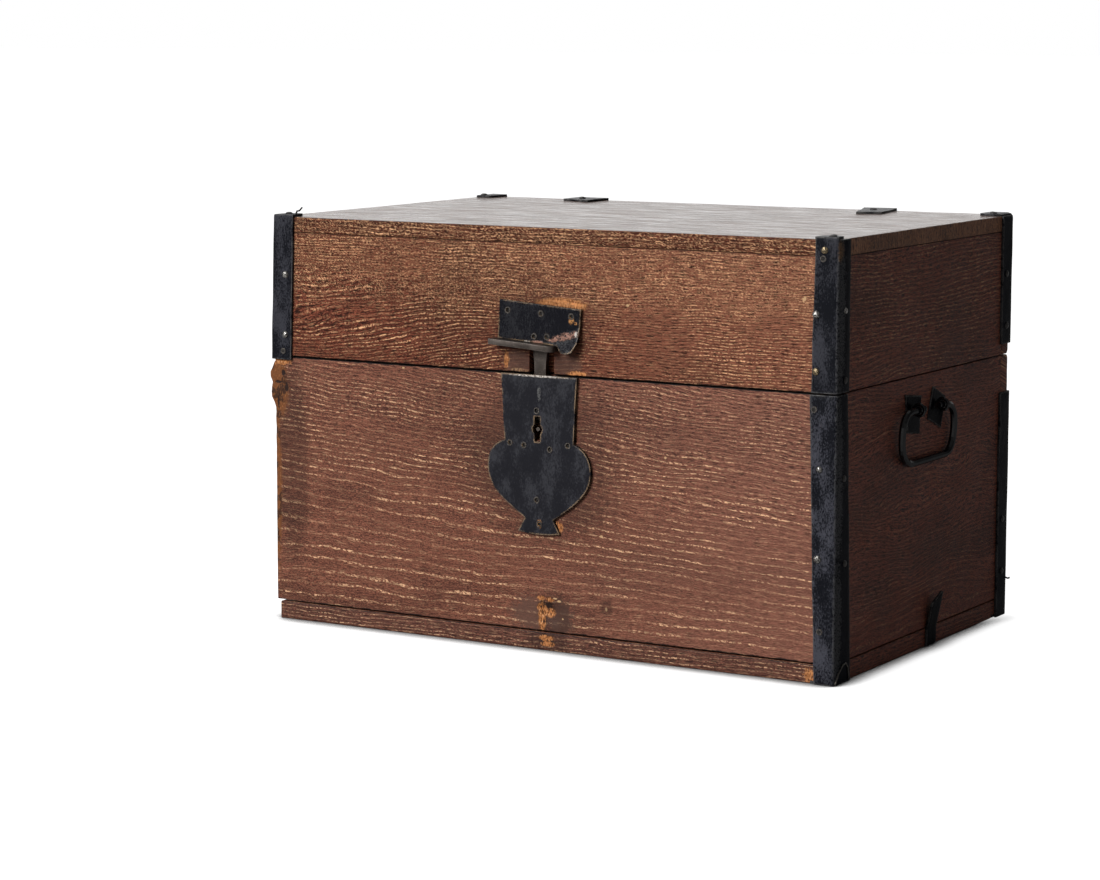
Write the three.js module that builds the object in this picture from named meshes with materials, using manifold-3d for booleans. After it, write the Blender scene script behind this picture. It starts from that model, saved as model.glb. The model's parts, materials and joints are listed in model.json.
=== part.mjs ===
// A travelling bar case: an oak box bound with iron, with a lid on strap hinges, a hasp lock
// whose hooked tongue a sliding bolt catches, two bail handles and six bottle compartments.
// Millimetres, +Z up, front towards -Y, origin at the centre of the underside.
import * as THREE from 'three';
import { mergeVertices } from 'three/addons/utils/BufferGeometryUtils.js';
import Module from 'manifold-3d';

const wasm = await Module();
wasm.setup();

// Boards
const caseLength = 496;
const caseDepth = 318;
const seamHeight = 214;
const caseHeight = 326;
const frontThick = 14;
const sideThick = 14;
const bottomThick = 14;
const topThick = 12.5;
const seamGap = 0.6;
const boardEase = 0.8;
const cornerSpread = 3.6;

// Clearances
const seatGap = 0.3;
const overrun = 3;

// Bottle compartments
const partitionThick = 6;
const partitionHeight = 125;
const grooveDepth = 3;

// Corner irons
const ironThick = 2;
const ironFlange = 20;
const ironBend = 2.6;
const frontTabLength = 17;
const backTabLength = 26;
const tabRound = 5;
const frontIronRound = 3;
const backIronRound = 5.5;
const turnedFrontTop = 22;
const turnedFrontFoot = 16.4;
const turnedSideTop = 18;
const turnedSideFoot = 28;
const lidRightTop = 18.8;
const lidRightFoot = 21;
const ironLean = 3.6;
const lidBackIronRise = 9;
const baseBackIronDrop = 30;

// Clips that hold the bottom board
const clipWidth = 17;
const clipHeight = 42;
const clipUnderLength = 28;
const sideClipY = 13;
const clipStraight = 14;
const clipPull = 6;
const clipEndSlant = 6;

// Strap hinges
const leftHingeReach = 140.5;
const rightHingeReach = 132.5;
const strapWidth = 29;
const strapThick = 1.8;
const pinRadius = 2.5;
const pinHeadHeight = 0.9;
const lidOpening = 105;
const stopAllowance = 2;
const leafCutBack = 8;
const pocketClearance = 2.1;
const baseStrapLength = 108;
const strapTipWidth = 16;
const strapTipLength = 30;
const leftStrapTab = 37;
const rightStrapTab = 56;
const leftTabShares = [[0.5, 1], [-0.5, 0.76]];
const rightTabShares = [[0.8, 0.86], [0.15, 1]];

// Lock plate
const plateThick = 2.5;
const plateOffset = 1.2;
const plateTopWidth = 67.5;
const plateLowWidth = 61.5;
const plateShoulderDrop = 52;
const bulbWidth = 92;
const bulbDrop = 73;
const neckWidth = 25;
const neckDrop = 111.5;
const footWidth = 37;
const footDrop = 122;
const footBulge = 1.6;

// Keyhole and key post
const keyDrop = 42.1;
const keyOffset = 2.4;
const keyholeHeight = 19.3;
const keyholeWidth = 5.1;
const keyholeRound = 8.7;
const keyPostRadius = 1.5;
const keyPostProud = 1.4;

// Lock recess in the front board
const recessWidth = 62;
const recessDepth = 10.5;
const recessTopDrop = 11;
const recessBottomDrop = 51;
const tongueSlotWidth = 22;

// Tongue with its thumb lip
const tongueThick = 4;
const tongueSetBack = 3;
const tongueOffset = 3.2;
const tongueFootWidth = 14;
const tongueFootHeight = 18.8;
const tongueTipDrop = 29.8;
const tongueWaist = 10;
const tongueHookDepth = 6.5;
const tongueHookHeight = 8;
const tongueHookRise = 2.8;
const lipThick = 4.2;
const lipReach = 10;
const lipLeft = 42;
const lipRight = 15;
const lipRound = 4.5;
const lipRise = 21.3;
const haspTilt = 3.7;
const notchWidth = 22;
const notchDepth = 9;

// Hasp plate
const haspWidth = 72.5;
const haspOffset = 2;
const haspHeight = 30;
const haspDroop = 4.8;
const haspDroopFrom = 19.5;
const haspCornerRound = 9;
const haspCurl = 5.5;
const haspCurlHeight = 17;
const haspCurlFrom = 4;

// Bolt, its staples and its spring
const boltThick = 5;
const boltTailHeight = 7;
const boltTailLength = 41.5;
const boltHeadWidth = 6.5;
const boltNoseLength = 8;
const boltNoseGap = 1.5;
const boltNosePlay = 0.6;
const boltRise = 3.6;
const talonWidth = 6;
const talonDepth = 3;
const boltStapleWidth = 5;
const boltStapleWall = 1.8;
const boltStaplePitch = 8;
const springThick = 0.9;
const springWidth = 4.4;
const springAnchor = 4;
const springSag = 3.6;

// Bail handles
const handleY = -6.6;
const handleDrop = 25;
const eyeSpacing = 43.7;
const bailRadius = 2.8;
const bailPlay = 0.35;
const bailWidth = 96.5;
const bailFall = 41;
const bailLean = 5.2;
const bailTip = 9;
const bailFrontShoulder = 13;
const bailBackShoulder = 25;
const bailFrontCorner = 27;
const bailBackCorner = 15;
const eyeWireRadius = 1.25;
const roveThick = 1.2;
const roveWidth = 26;
const roveHeight = 32;
const shankRadius = 1.9;
const clinchLength = 20;
const clinchWidth = 3.4;
const clinchThick = 1.6;
const squareRoveShares = [[-0.45, 0.38], [0.64, 0.29], [0.55, -0.63], [-0.29, -0.54]];
const diamondRoveShares = [[-0.2, 0.43], [0.68, 0.13], [0.42, -0.63], [-0.54, -0.33]];

// Facets of round stretches
const cornerSteps = 3;
const curveSteps = 12;
const roundSides = 24;
const wireSides = 10;
const bailSteps = 64;
const haspColumns = 24;
const haspRows = 8;

// Places that several pieces share
const rightFace = caseLength / 2;
const backFace = caseDepth / 2;
const frontFace = -backFace;
const innerX = rightFace - sideThick;
const innerY = backFace - frontThick;
const baseTop = seamHeight - seamGap / 2;
const lidBottom = seamHeight + seamGap / 2;
const lidCeiling = caseHeight - topThick;
const crossPartitionX = (2 * innerX + partitionThick) / 6;
const partitionTop = bottomThick + partitionHeight;
const knuckleRadius = pinRadius + seatGap + strapThick;
const hingeInset = knuckleRadius - strapThick;
const hingeY = backFace - hingeInset;
const hingeXs = [-leftHingeReach, rightHingeReach];
const bevelAngle = THREE.MathUtils.degToRad(lidOpening / 2 + stopAllowance);
const bevelHeight = hingeInset * Math.tan(bevelAngle);
const keyX = -keyOffset;
const tongueX = -tongueOffset;
const keyZ = seamHeight - keyDrop;
const recessTop = seamHeight - recessTopDrop;
const recessBottom = seamHeight - recessBottomDrop;
const recessBack = frontFace + recessDepth;
const tongueFront = frontFace + tongueSetBack;
const tongueBack = tongueFront + tongueThick;
const tongueTip = seamHeight - tongueTipDrop;
const hookBottom = tongueTip + tongueHookRise;
const boltBottom = keyZ + boltRise;
const boltBack = tongueBack;
const lipZ = seamHeight + lipRise;
const handleZ = seamHeight - handleDrop;
const eyeRadius = bailRadius + bailPlay + eyeWireRadius;
const pivotX = rightFace + roveThick + eyeRadius + eyeWireRadius;

// Solids and their geometry
function solidOf(geometry) {
  const bare = geometry.clone();
  bare.deleteAttribute('normal');
  bare.deleteAttribute('uv');
  const merged = mergeVertices(bare, 1e-5);
  const vertProperties = new Float32Array(merged.attributes.position.array);
  const triVerts = new Uint32Array(merged.index.array);
  return new wasm.Manifold(new wasm.Mesh({ numProp: 3, vertProperties, triVerts }));
}

function geometryOf(solid) {
  const mesh = solid.getMesh();
  const geometry = new THREE.BufferGeometry();
  geometry.setAttribute('position', new THREE.BufferAttribute(new Float32Array(mesh.vertProperties), 3));
  geometry.setIndex(new THREE.BufferAttribute(new Uint32Array(mesh.triVerts), 1));
  const flat = geometry.toNonIndexed();
  flat.computeVertexNormals();
  return flat;
}

function joined(...geometries) {
  return geometryOf(geometries.map(solidOf).reduce((sum, solid) => sum.add(solid)));
}

function kept(geometry, keeper) {
  return geometryOf(solidOf(geometry).intersect(solidOf(keeper)));
}

function cut(geometry, ...cutters) {
  return geometryOf(cutters.map(solidOf).reduce((rest, cutter) => rest.subtract(cutter), solidOf(geometry)));
}

// A block between two opposite corners
function block([x0, y0, z0], [x1, y1, z1]) {
  const geometry = new THREE.BoxGeometry(Math.abs(x1 - x0), Math.abs(y1 - y0), Math.abs(z1 - z0));
  return geometry.translate((x0 + x1) / 2, (y0 + y1) / 2, (z0 + z1) / 2);
}

function arc(centreX, centreY, radius, from, to, steps = curveSteps) {
  return Array.from({ length: steps + 1 }, (_, step) => {
    const angle = from + ((to - from) * step) / steps;
    return new THREE.Vector2(centreX + radius * Math.cos(angle), centreY + radius * Math.sin(angle));
  });
}

// A closed outline from corners [x, y, radius], each rounded by its radius
function outline(corners) {
  const count = corners.length;
  const points = corners.flatMap(([x, y, radius = 0], index) => {
    const corner = new THREE.Vector2(x, y);
    if (radius === 0) return [corner];
    const [beforeX, beforeY] = corners[(index + count - 1) % count];
    const [afterX, afterY] = corners[(index + 1) % count];
    const back = new THREE.Vector2(beforeX, beforeY).sub(corner).normalize();
    const ahead = new THREE.Vector2(afterX, afterY).sub(corner).normalize();
    const half = Math.acos(back.dot(ahead)) / 2;
    const centre = back.clone().add(ahead).normalize().multiplyScalar(radius / Math.sin(half)).add(corner);
    const start = corner.clone().addScaledVector(back, radius / Math.tan(half)).sub(centre);
    const sweep = Math.sign(ahead.cross(back)) * (Math.PI - 2 * half);
    return arc(centre.x, centre.y, radius, start.angle(), start.angle() + sweep, cornerSteps);
  });
  return new THREE.Shape(points);
}

function extrude(shape, depth) {
  return new THREE.ExtrudeGeometry(shape, { depth, bevelEnabled: false, curveSegments: curveSteps });
}

// An outline in plan, raised from z0 to z1
function raised(shape, z0, z1) {
  return extrude(shape, z1 - z0).translate(0, 0, z0);
}

// An outline seen from the front, in x and z, carried back from y0 to y1
function carriedBack(shape, y0, y1) {
  return extrude(shape, y1 - y0).rotateX(Math.PI / 2).translate(0, y1, 0);
}

// An outline seen from the right, in y and z, carried across from x0 to x1
function carriedAcross(shape, x0, x1) {
  const turn = new THREE.Matrix4().makeBasis(
    new THREE.Vector3(0, 1, 0),
    new THREE.Vector3(0, 0, 1),
    new THREE.Vector3(1, 0, 0),
  );
  const low = Math.min(x0, x1);
  return extrude(shape, Math.abs(x1 - x0)).applyMatrix4(turn).translate(low, 0, 0);
}

// A round bar along X
function barAcross(radius, x0, x1, y, z, sides = roundSides) {
  const geometry = new THREE.CylinderGeometry(radius, radius, Math.abs(x1 - x0), sides);
  return geometry.rotateZ(Math.PI / 2).translate((x0 + x1) / 2, y, z);
}

// Materials
function finish(color, roughness, metalness) {
  return () => new THREE.MeshStandardMaterial({ color, roughness, metalness });
}

const oak = finish('#6e4530', 0.62, 0);
const paleOak = finish('#8a6a48', 0.7, 0);
const blackIron = finish('#23252b', 0.45, 0.85);
const bareIron = finish('#5d5148', 0.5, 0.8);
const springSteel = finish('#6a6e74', 0.35, 0.95);

// The groups that move: the lid, the bolt and the two bails turn or slide on the base
const bodies = {
  base: new THREE.Group(),
  lid: new THREE.Group(),
  bolt: new THREE.Group(),
  leftBail: new THREE.Group(),
  rightBail: new THREE.Group(),
};
const part = new THREE.Group();
part.add(...Object.values(bodies));

function place(body, name, geometry, material) {
  const mesh = new THREE.Mesh(geometry, material());
  mesh.name = name;
  body.add(mesh);
}

// A board with eased edges, its section given in y and z, its left end standing out by spread
function longBoard(y0, y1, z0, z1, spread = 0) {
  const section = outline([
    [y0, z0, boardEase],
    [y1, z0, boardEase],
    [y1, z1, boardEase],
    [y0, z1, boardEase],
  ]);
  return carriedAcross(section, -rightFace - spread, rightFace);
}

function sideBoard(side, z0, z1) {
  const x0 = Math.min(side * innerX, side * rightFace);
  const x1 = x0 + sideThick;
  const section = outline([
    [x0, z0, boardEase],
    [x1, z0, boardEase],
    [x1, z1, boardEase],
    [x0, z1, boardEase],
  ]);
  return carriedBack(section, -innerY, innerY);
}

// The back boards, bevelled at the seam so that the bevels meet when the lid is fully open
function backBoard(seamEdge, farEdge) {
  const away = Math.sign(farEdge - seamEdge);
  const section = outline([
    [innerY, seamEdge],
    [backFace - hingeInset, seamEdge],
    [backFace, seamEdge + away * bevelHeight],
    [backFace, farEdge, boardEase],
    [innerY, farEdge, boardEase],
  ]);
  const board = carriedAcross(section, -rightFace, rightFace);
  return cut(board, ...hingeXs.map(hingePocket));
}

function hingePocket(centre) {
  const reach = strapWidth / 2 + pinHeadHeight + 2 * seatGap;
  return barAcross(knuckleRadius + pocketClearance, centre - reach, centre + reach, hingeY, seamHeight);
}

// Grooves that take the ends of the partitions
function crossGrooves(face) {
  const half = partitionThick / 2 + seatGap;
  const inner = face * innerY;
  return [-1, 1].map((side) => block(
    [side * crossPartitionX - half, inner - face * overrun, bottomThick - overrun],
    [side * crossPartitionX + half, inner + face * grooveDepth, partitionTop + seatGap],
  ));
}

function longGroove(side) {
  const half = partitionThick / 2 + seatGap;
  return block(
    [side * (innerX - overrun), -half, bottomThick - overrun],
    [side * (innerX + grooveDepth), half, partitionTop + seatGap],
  );
}

// The recess for the lock's works, let in from the front and open above for the tongue
function lockRecess() {
  return [
    block([-recessWidth / 2, frontFace - overrun, recessBottom], [recessWidth / 2, recessBack, recessTop]),
    block(
      [-tongueSlotWidth / 2, frontFace - overrun, recessTop - overrun],
      [tongueSlotWidth / 2, recessBack, seamHeight + overrun],
    ),
  ];
}

function shankHoles(side) {
  const reachIn = side * (innerX - overrun);
  const reachOut = side * (rightFace + overrun);
  return [-1, 1].map((end) => barAcross(
    shankRadius + seatGap, reachIn, reachOut, handleY + (end * eyeSpacing) / 2, handleZ, wireSides,
  ));
}

// The front board has sprung outward at the corner that lost its iron
function baseBoards() {
  const plain = longBoard(frontFace, -innerY, bottomThick, baseTop, cornerSpread);
  const front = cut(plain, ...crossGrooves(-1), ...lockRecess());
  place(bodies.base, 'base_front_board', front, oak);
  place(bodies.base, 'base_back_board', cut(backBoard(baseTop, bottomThick), ...crossGrooves(1)), oak);
  [['left', -1], ['right', 1]].forEach(([name, side]) => {
    const board = cut(sideBoard(side, bottomThick, baseTop), longGroove(side), ...shankHoles(side));
    place(bodies.base, `base_${name}_board`, board, oak);
  });
  place(bodies.base, 'bottom_board', bottomBoard(), oak);
}

// Iron that folds under the bottom is let in flush with it
function letIn(x0, x1, y0, y1) {
  return block([x0, y0, -overrun], [x1, y1, ironThick + seatGap]);
}

function bottomBoard() {
  const tabHalf = ironFlange + seatGap;
  const outX = rightFace + overrun;
  const outY = backFace + overrun;
  const inX = rightFace + ironThick - tabHalf;
  const frontTab = -backFace - ironThick + frontTabLength + seatGap;
  const backTab = backFace + ironThick - backTabLength - seatGap;
  const clipHalf = clipWidth / 2 + seatGap;
  const clipX = rightFace - clipUnderLength - seatGap;
  const clipY = backFace - clipUnderLength - seatGap;
  return cut(
    longBoard(frontFace, backFace, 0, bottomThick),
    letIn(inX, outX, -outY, frontTab),
    letIn(inX, outX, backTab, outY),
    letIn(-outX, -inX, backTab, outY),
    letIn(clipX, outX, sideClipY - clipHalf, sideClipY + clipHalf),
    letIn(-outX, -clipX, sideClipY - clipHalf, sideClipY + clipHalf),
    letIn(-clipHalf, clipHalf, clipY, outY),
  );
}

function lidBoards() {
  const notch = block(
    [-notchWidth / 2, frontFace - overrun, lidBottom - overrun],
    [notchWidth / 2, frontFace + notchDepth, lipZ + lipThick / 2 + 2 * seatGap + lipSlope(notchWidth / 2)],
  );
  place(bodies.lid, 'lid_front_board', cut(longBoard(frontFace, -innerY, lidBottom, lidCeiling), notch), oak);
  place(bodies.lid, 'lid_back_board', backBoard(lidBottom, lidCeiling), oak);
  place(bodies.lid, 'lid_left_board', sideBoard(-1, lidBottom, lidCeiling), oak);
  place(bodies.lid, 'lid_right_board', sideBoard(1, lidBottom, lidCeiling), oak);
  place(bodies.lid, 'lid_top_board', longBoard(frontFace, backFace, lidCeiling, caseHeight), oak);
}

// Partitions, halved into each other where they cross
function partition(reach, crossings, slotFrom, slotTo) {
  const half = partitionThick / 2 + seatGap;
  const rounded = partitionThick / 3;
  const section = outline([
    [-partitionThick / 2, bottomThick],
    [partitionThick / 2, bottomThick],
    [partitionThick / 2, partitionTop, rounded],
    [-partitionThick / 2, partitionTop, rounded],
  ]);
  const board = carriedAcross(section, -reach, reach);
  const slots = crossings.map((x) => block([x - half, -partitionThick, slotFrom], [x + half, partitionThick, slotTo]));
  return cut(board, ...slots);
}

function partitions() {
  const middle = bottomThick + partitionHeight / 2;
  const longReach = innerX + grooveDepth - seatGap;
  const crossReach = innerY + grooveDepth - seatGap;
  const long = partition(longReach, [-crossPartitionX, crossPartitionX], middle - seatGap / 2, partitionTop + overrun);
  place(bodies.base, 'partition_long', long, paleOak);
  [['left', -1], ['right', 1]].forEach(([name, side]) => {
    const cross = partition(crossReach, [0], bottomThick - overrun, middle + seatGap / 2);
    cross.rotateZ(Math.PI / 2).translate(side * crossPartitionX, 0, 0);
    place(bodies.base, `partition_cross_${name}`, cross, paleOak);
  });
}

// A corner iron: an angle up the corner and a tab folded over the board it ends on.
// sideX and sideY give the corner, tab the tab's height, and z0 and z1 the angle's ends.
function cornerIron(sideX, sideY, z0, z1, tab, tabLength, endFlange = ironFlange, sideFlange = ironFlange) {
  const outX = sideX * (rightFace + ironThick);
  const outY = sideY * (backFace + ironThick);
  const flangeX = outX - sideX * endFlange;
  const flangeY = outY - sideY * sideFlange;
  const angle = raised(outline([
    [outX, outY, ironBend],
    [flangeX, outY],
    [flangeX, sideY * backFace],
    [sideX * rightFace, sideY * backFace],
    [sideX * rightFace, flangeY],
    [outX, flangeY],
  ]), z0, z1);
  const tabX = outX - sideX * ironFlange;
  const tabPlate = raised(outline([
    [outX - sideX * ironBend, outY],
    [tabX, outY],
    [tabX, outY - sideY * tabLength, tabRound],
    [outX - sideX * ironBend, outY - sideY * tabLength, tabRound],
  ]), tab, tab + ironThick);
  return joined(angle, tabPlate);
}

function lidIrons() {
  const top = caseHeight + ironThick;
  const foot = lidBottom + seatGap;
  [['left', -1], ['right', 1]].forEach(([name, side]) => {
    const plain = cornerIron(side, -1, foot, top, caseHeight, frontTabLength, side > 0 ? lidRightFoot : ironFlange);
    const front = side > 0 ? cut(plain, frontWedge(lidRightTop, lidRightFoot, foot, top)) : plain;
    const back = cornerIron(side, 1, seamHeight + lidBackIronRise, top, caseHeight, backTabLength);
    const frontBent = kept(cut(front, sideFlangeTop(side, -1)), bentTop(top, frontIronRound));
    const backBent = kept(cut(back, sideFlangeTop(side, 1)), bentTop(top, backIronRound));
    const frontWorn = side < 0 ? leaning(frontBent, top) : frontBent;
    place(bodies.lid, `lid_iron_front_${name}`, frontWorn, blackIron);
    place(bodies.lid, `lid_iron_back_${name}`, backBent, blackIron);
  });
}

// The lid's front left iron hangs from its top, and its foot has sprung outward
function leaning(iron, top) {
  const slope = ironLean / (top - seamHeight);
  const shear = new THREE.Matrix4().makeShear(0, 0, 0, 0, slope, 0);
  return iron.translate(0, 0, -top).applyMatrix4(shear).translate(0, 0, top);
}

// What a front right iron's flange loses where its edge slants from topReach to footReach
function frontWedge(topReach, footReach, z0, z1) {
  const outX = rightFace + ironThick;
  const wide = Math.max(topReach, footReach) + overrun;
  return carriedBack(new THREE.Shape([
    new THREE.Vector2(outX - wide, z1 + overrun),
    new THREE.Vector2(outX - wide, z0 - overrun),
    new THREE.Vector2(outX - footReach, z0 - overrun),
    new THREE.Vector2(outX - footReach, z0),
    new THREE.Vector2(outX - topReach, z1),
    new THREE.Vector2(outX - topReach, z1 + overrun),
  ]), frontFace - ironThick - overrun, frontFace);
}

// The room inside the round bends where the lid's irons turn over its top
function bentTop(top, round) {
  const outX = rightFace + ironThick;
  const outY = backFace + ironThick;
  return carriedBack(outline([[-outX, 0], [outX, 0], [outX, top, round], [-outX, top, round]]), -outY, outY);
}

// The base's front right iron has turned on its corner: its front flange narrows downward as its side one widens
function turnedIron(top) {
  const outX = rightFace + ironThick;
  const outY = -backFace - ironThick;
  const iron = cornerIron(1, -1, 0, top, 0, frontTabLength, turnedFrontTop, turnedSideFoot);
  const front = frontWedge(turnedFrontTop, turnedFrontFoot, 0, top);
  const side = carriedAcross(new THREE.Shape([
    new THREE.Vector2(outY + turnedSideFoot + overrun, 0),
    new THREE.Vector2(outY + turnedSideFoot + overrun, top + overrun),
    new THREE.Vector2(outY + turnedSideTop, top + overrun),
    new THREE.Vector2(outY + turnedSideFoot, 0),
  ]), rightFace, outX + overrun);
  return cut(iron, front, side);
}

// The side flange stops level with the lid's top, beside the folded tab
function sideFlangeTop(sideX, sideY) {
  const bend = sideY * (backFace + ironThick - ironBend);
  return block(
    [sideX * rightFace, bend, caseHeight],
    [sideX * (rightFace + ironThick + overrun), bend - sideY * ironFlange, caseHeight + ironThick + overrun],
  );
}

// The base has lost its front left iron, so three are left
function baseIrons() {
  const top = baseTop - seatGap;
  const backTop = seamHeight - baseBackIronDrop;
  place(bodies.base, 'base_iron_front_right', turnedIron(top), blackIron);
  place(bodies.base, 'base_iron_back_right', cornerIron(1, 1, 0, backTop, 0, backTabLength), blackIron);
  place(bodies.base, 'base_iron_back_left', cornerIron(-1, 1, 0, backTop, 0, backTabLength), blackIron);
}

// A clip's section: a leg let in under the bottom and a leg up the side, its end pulled away by pull
function clipSection(face, pull) {
  return outline([
    [face - clipUnderLength, 0],
    [face + ironThick, 0, ironThick],
    [face + ironThick, clipStraight],
    [face + ironThick + pull, clipHeight],
    [face + pull, clipHeight],
    [face, clipStraight],
    [face, ironThick],
    [face - clipUnderLength, ironThick],
  ]);
}

function clips() {
  const half = clipWidth / 2;
  const pulled = carriedBack(clipSection(rightFace, clipPull), sideClipY - half, sideClipY + half);
  const slant = carriedAcross(outline([
    [sideClipY - half - overrun, clipHeight - clipEndSlant - overrun],
    [sideClipY + half + overrun, clipHeight + overrun],
    [sideClipY - half - overrun, clipHeight + overrun],
  ]), rightFace, rightFace + clipPull + ironThick + overrun);
  place(bodies.base, 'bottom_clip_right', cut(pulled, slant), blackIron);
  const left = carriedBack(clipSection(rightFace, 0), -half, half).rotateZ(Math.PI).translate(0, sideClipY, 0);
  place(bodies.base, 'bottom_clip_left', left, blackIron);
  const back = carriedBack(clipSection(backFace, 0), -half, half).rotateZ(Math.PI / 2);
  place(bodies.base, 'bottom_clip_back', back, blackIron);
}

// A knuckle with the strap's root, its section in y and z round the pin; up is 1 for the lid, -1 for the base
function knuckle(up, x0, x1) {
  const rootReach = Math.sqrt(knuckleRadius ** 2 - hingeInset ** 2);
  const rootAngle = Math.atan2(rootReach, hingeInset);
  const wrap = arc(0, 0, knuckleRadius, 0, rootAngle - 2 * Math.PI, roundSides);
  const points = [new THREE.Vector2(knuckleRadius, leafCutBack + seatGap), ...wrap];
  points.push(new THREE.Vector2(hingeInset, leafCutBack + seatGap));
  const shape = new THREE.Shape(points.map(({ x, y }) => new THREE.Vector2(hingeY + x, seamHeight + up * y)));
  return carriedAcross(shape, x0, x1);
}

function pinBore(x0, x1) {
  return barAcross(pinRadius + seatGap, x0 - overrun, x1 + overrun, hingeY, seamHeight);
}

// The lid's strap runs up the back and folds over the top, where its end is cut askew.
// The shares place the end's right and left corners, as parts of the strap's width and of the tab.
function lidStrap(centre, tabLength, endShares) {
  const half = strapWidth / 2;
  const third = strapWidth / 6 - seatGap / 2;
  const outerY = backFace + strapThick;
  const top = caseHeight + strapThick;
  const leaf = block([centre - half, backFace, seamHeight + leafCutBack], [centre + half, outerY, top]);
  const tab = raised(outline([
    [centre - half, outerY],
    [centre + half, outerY],
    ...endShares.map(([across, along]) => [centre + across * strapWidth, outerY - along * tabLength]),
  ]), caseHeight, top);
  const root = knuckle(1, centre - third, centre + third);
  return cut(joined(leaf, tab, root), pinBore(centre - half, centre + half));
}

// The base's strap narrows to a rounded tip down the back
function baseStrap(centre) {
  const half = strapWidth / 2;
  const third = strapWidth / 6 + seatGap / 2;
  const tip = seamHeight - baseStrapLength;
  const leaf = carriedBack(outline([
    [centre - half, seamHeight - leafCutBack],
    [centre - half, tip + strapTipLength, strapTipWidth],
    [centre - strapTipWidth / 2, tip, strapTipWidth / 3],
    [centre + strapTipWidth / 2, tip, strapTipWidth / 3],
    [centre + half, tip + strapTipLength, strapTipWidth],
    [centre + half, seamHeight - leafCutBack],
  ]), backFace, backFace + strapThick);
  const roots = [knuckle(-1, centre - half, centre - third), knuckle(-1, centre + third, centre + half)];
  return cut(joined(leaf, ...roots), pinBore(centre - half, centre + half));
}

// The pin, with its ends hammered into low domes
function hingePin(centre) {
  const half = strapWidth / 2 + seatGap;
  const dome = pinRadius * 0.7;
  const profile = [
    [0, -half - pinHeadHeight], [dome, -half - pinHeadHeight / 2], [pinRadius, -half],
    [pinRadius, half], [dome, half + pinHeadHeight / 2], [0, half + pinHeadHeight],
  ];
  const points = profile.map(([radius, height]) => new THREE.Vector2(radius, height));
  return new THREE.LatheGeometry(points, roundSides).rotateZ(-Math.PI / 2).translate(centre, hingeY, seamHeight);
}

function hinges() {
  const [leftX, rightX] = hingeXs;
  const sets = [['left', leftX, leftStrapTab, leftTabShares], ['right', rightX, rightStrapTab, rightTabShares]];
  sets.forEach(([name, centre, tabLength, endShares]) => {
    place(bodies.lid, `hinge_lid_strap_${name}`, lidStrap(centre, tabLength, endShares), blackIron);
    place(bodies.base, `hinge_base_strap_${name}`, baseStrap(centre), blackIron);
    place(bodies.base, `hinge_pin_${name}`, hingePin(centre), bareIron);
  });
}

// The lock plate: straight cheeks, a round bulb, a narrow neck and a flared foot
function lockPlateShape() {
  const top = baseTop - seatGap;
  const shoulder = seamHeight - plateShoulderDrop;
  const bulb = seamHeight - bulbDrop;
  const neck = seamHeight - neckDrop;
  const foot = seamHeight - footDrop;
  const bulbRise = shoulder - bulb;
  const bulbFall = bulb - neck;
  const shape = new THREE.Shape();
  shape.moveTo(-plateTopWidth / 2, top);
  shape.lineTo(-plateLowWidth / 2, shoulder);
  shape.bezierCurveTo(
    -bulbWidth * 0.43, shoulder - bulbRise * 0.12, -bulbWidth / 2, bulb + bulbRise * 0.55, -bulbWidth / 2, bulb,
  );
  shape.bezierCurveTo(
    -bulbWidth / 2, bulb - bulbFall * 0.5, -neckWidth * 0.95, neck + bulbFall * 0.2, -neckWidth / 2, neck,
  );
  shape.lineTo(-footWidth / 2, foot);
  shape.quadraticCurveTo(0, foot - 2 * footBulge, footWidth / 2, foot);
  shape.lineTo(neckWidth / 2, neck);
  shape.bezierCurveTo(
    neckWidth * 0.95, neck + bulbFall * 0.2, bulbWidth / 2, bulb - bulbFall * 0.5, bulbWidth / 2, bulb,
  );
  shape.bezierCurveTo(
    bulbWidth / 2, bulb + bulbRise * 0.55, bulbWidth * 0.43, shoulder - bulbRise * 0.12, plateLowWidth / 2, shoulder,
  );
  shape.lineTo(plateTopWidth / 2, top);
  return shape;
}

// The keyhole: a slot with a round eye at its middle, where the post stands
function keyholeShape() {
  const radius = keyholeRound / 2;
  const half = keyholeWidth / 2;
  const reach = keyholeHeight / 2;
  const turn = Math.acos(half / radius);
  return new THREE.Shape([
    ...arc(keyX, keyZ, radius, -turn, turn, cornerSteps),
    new THREE.Vector2(keyX + half, keyZ + reach),
    new THREE.Vector2(keyX - half, keyZ + reach),
    ...arc(keyX, keyZ, radius, Math.PI - turn, Math.PI + turn, cornerSteps),
    new THREE.Vector2(keyX - half, keyZ - reach),
    new THREE.Vector2(keyX + half, keyZ - reach),
  ]);
}

function lockPlate() {
  const plate = carriedBack(lockPlateShape(), frontFace - plateThick, frontFace).translate(-plateOffset, 0, 0);
  return cut(plate, carriedBack(keyholeShape(), frontFace - plateThick - overrun, frontFace + overrun));
}

function keyPost() {
  const geometry = new THREE.CylinderGeometry(keyPostRadius, keyPostRadius, recessDepth + keyPostProud, wireSides);
  return geometry.translate(keyX, recessBack - (recessDepth + keyPostProud) / 2, keyZ);
}

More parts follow.
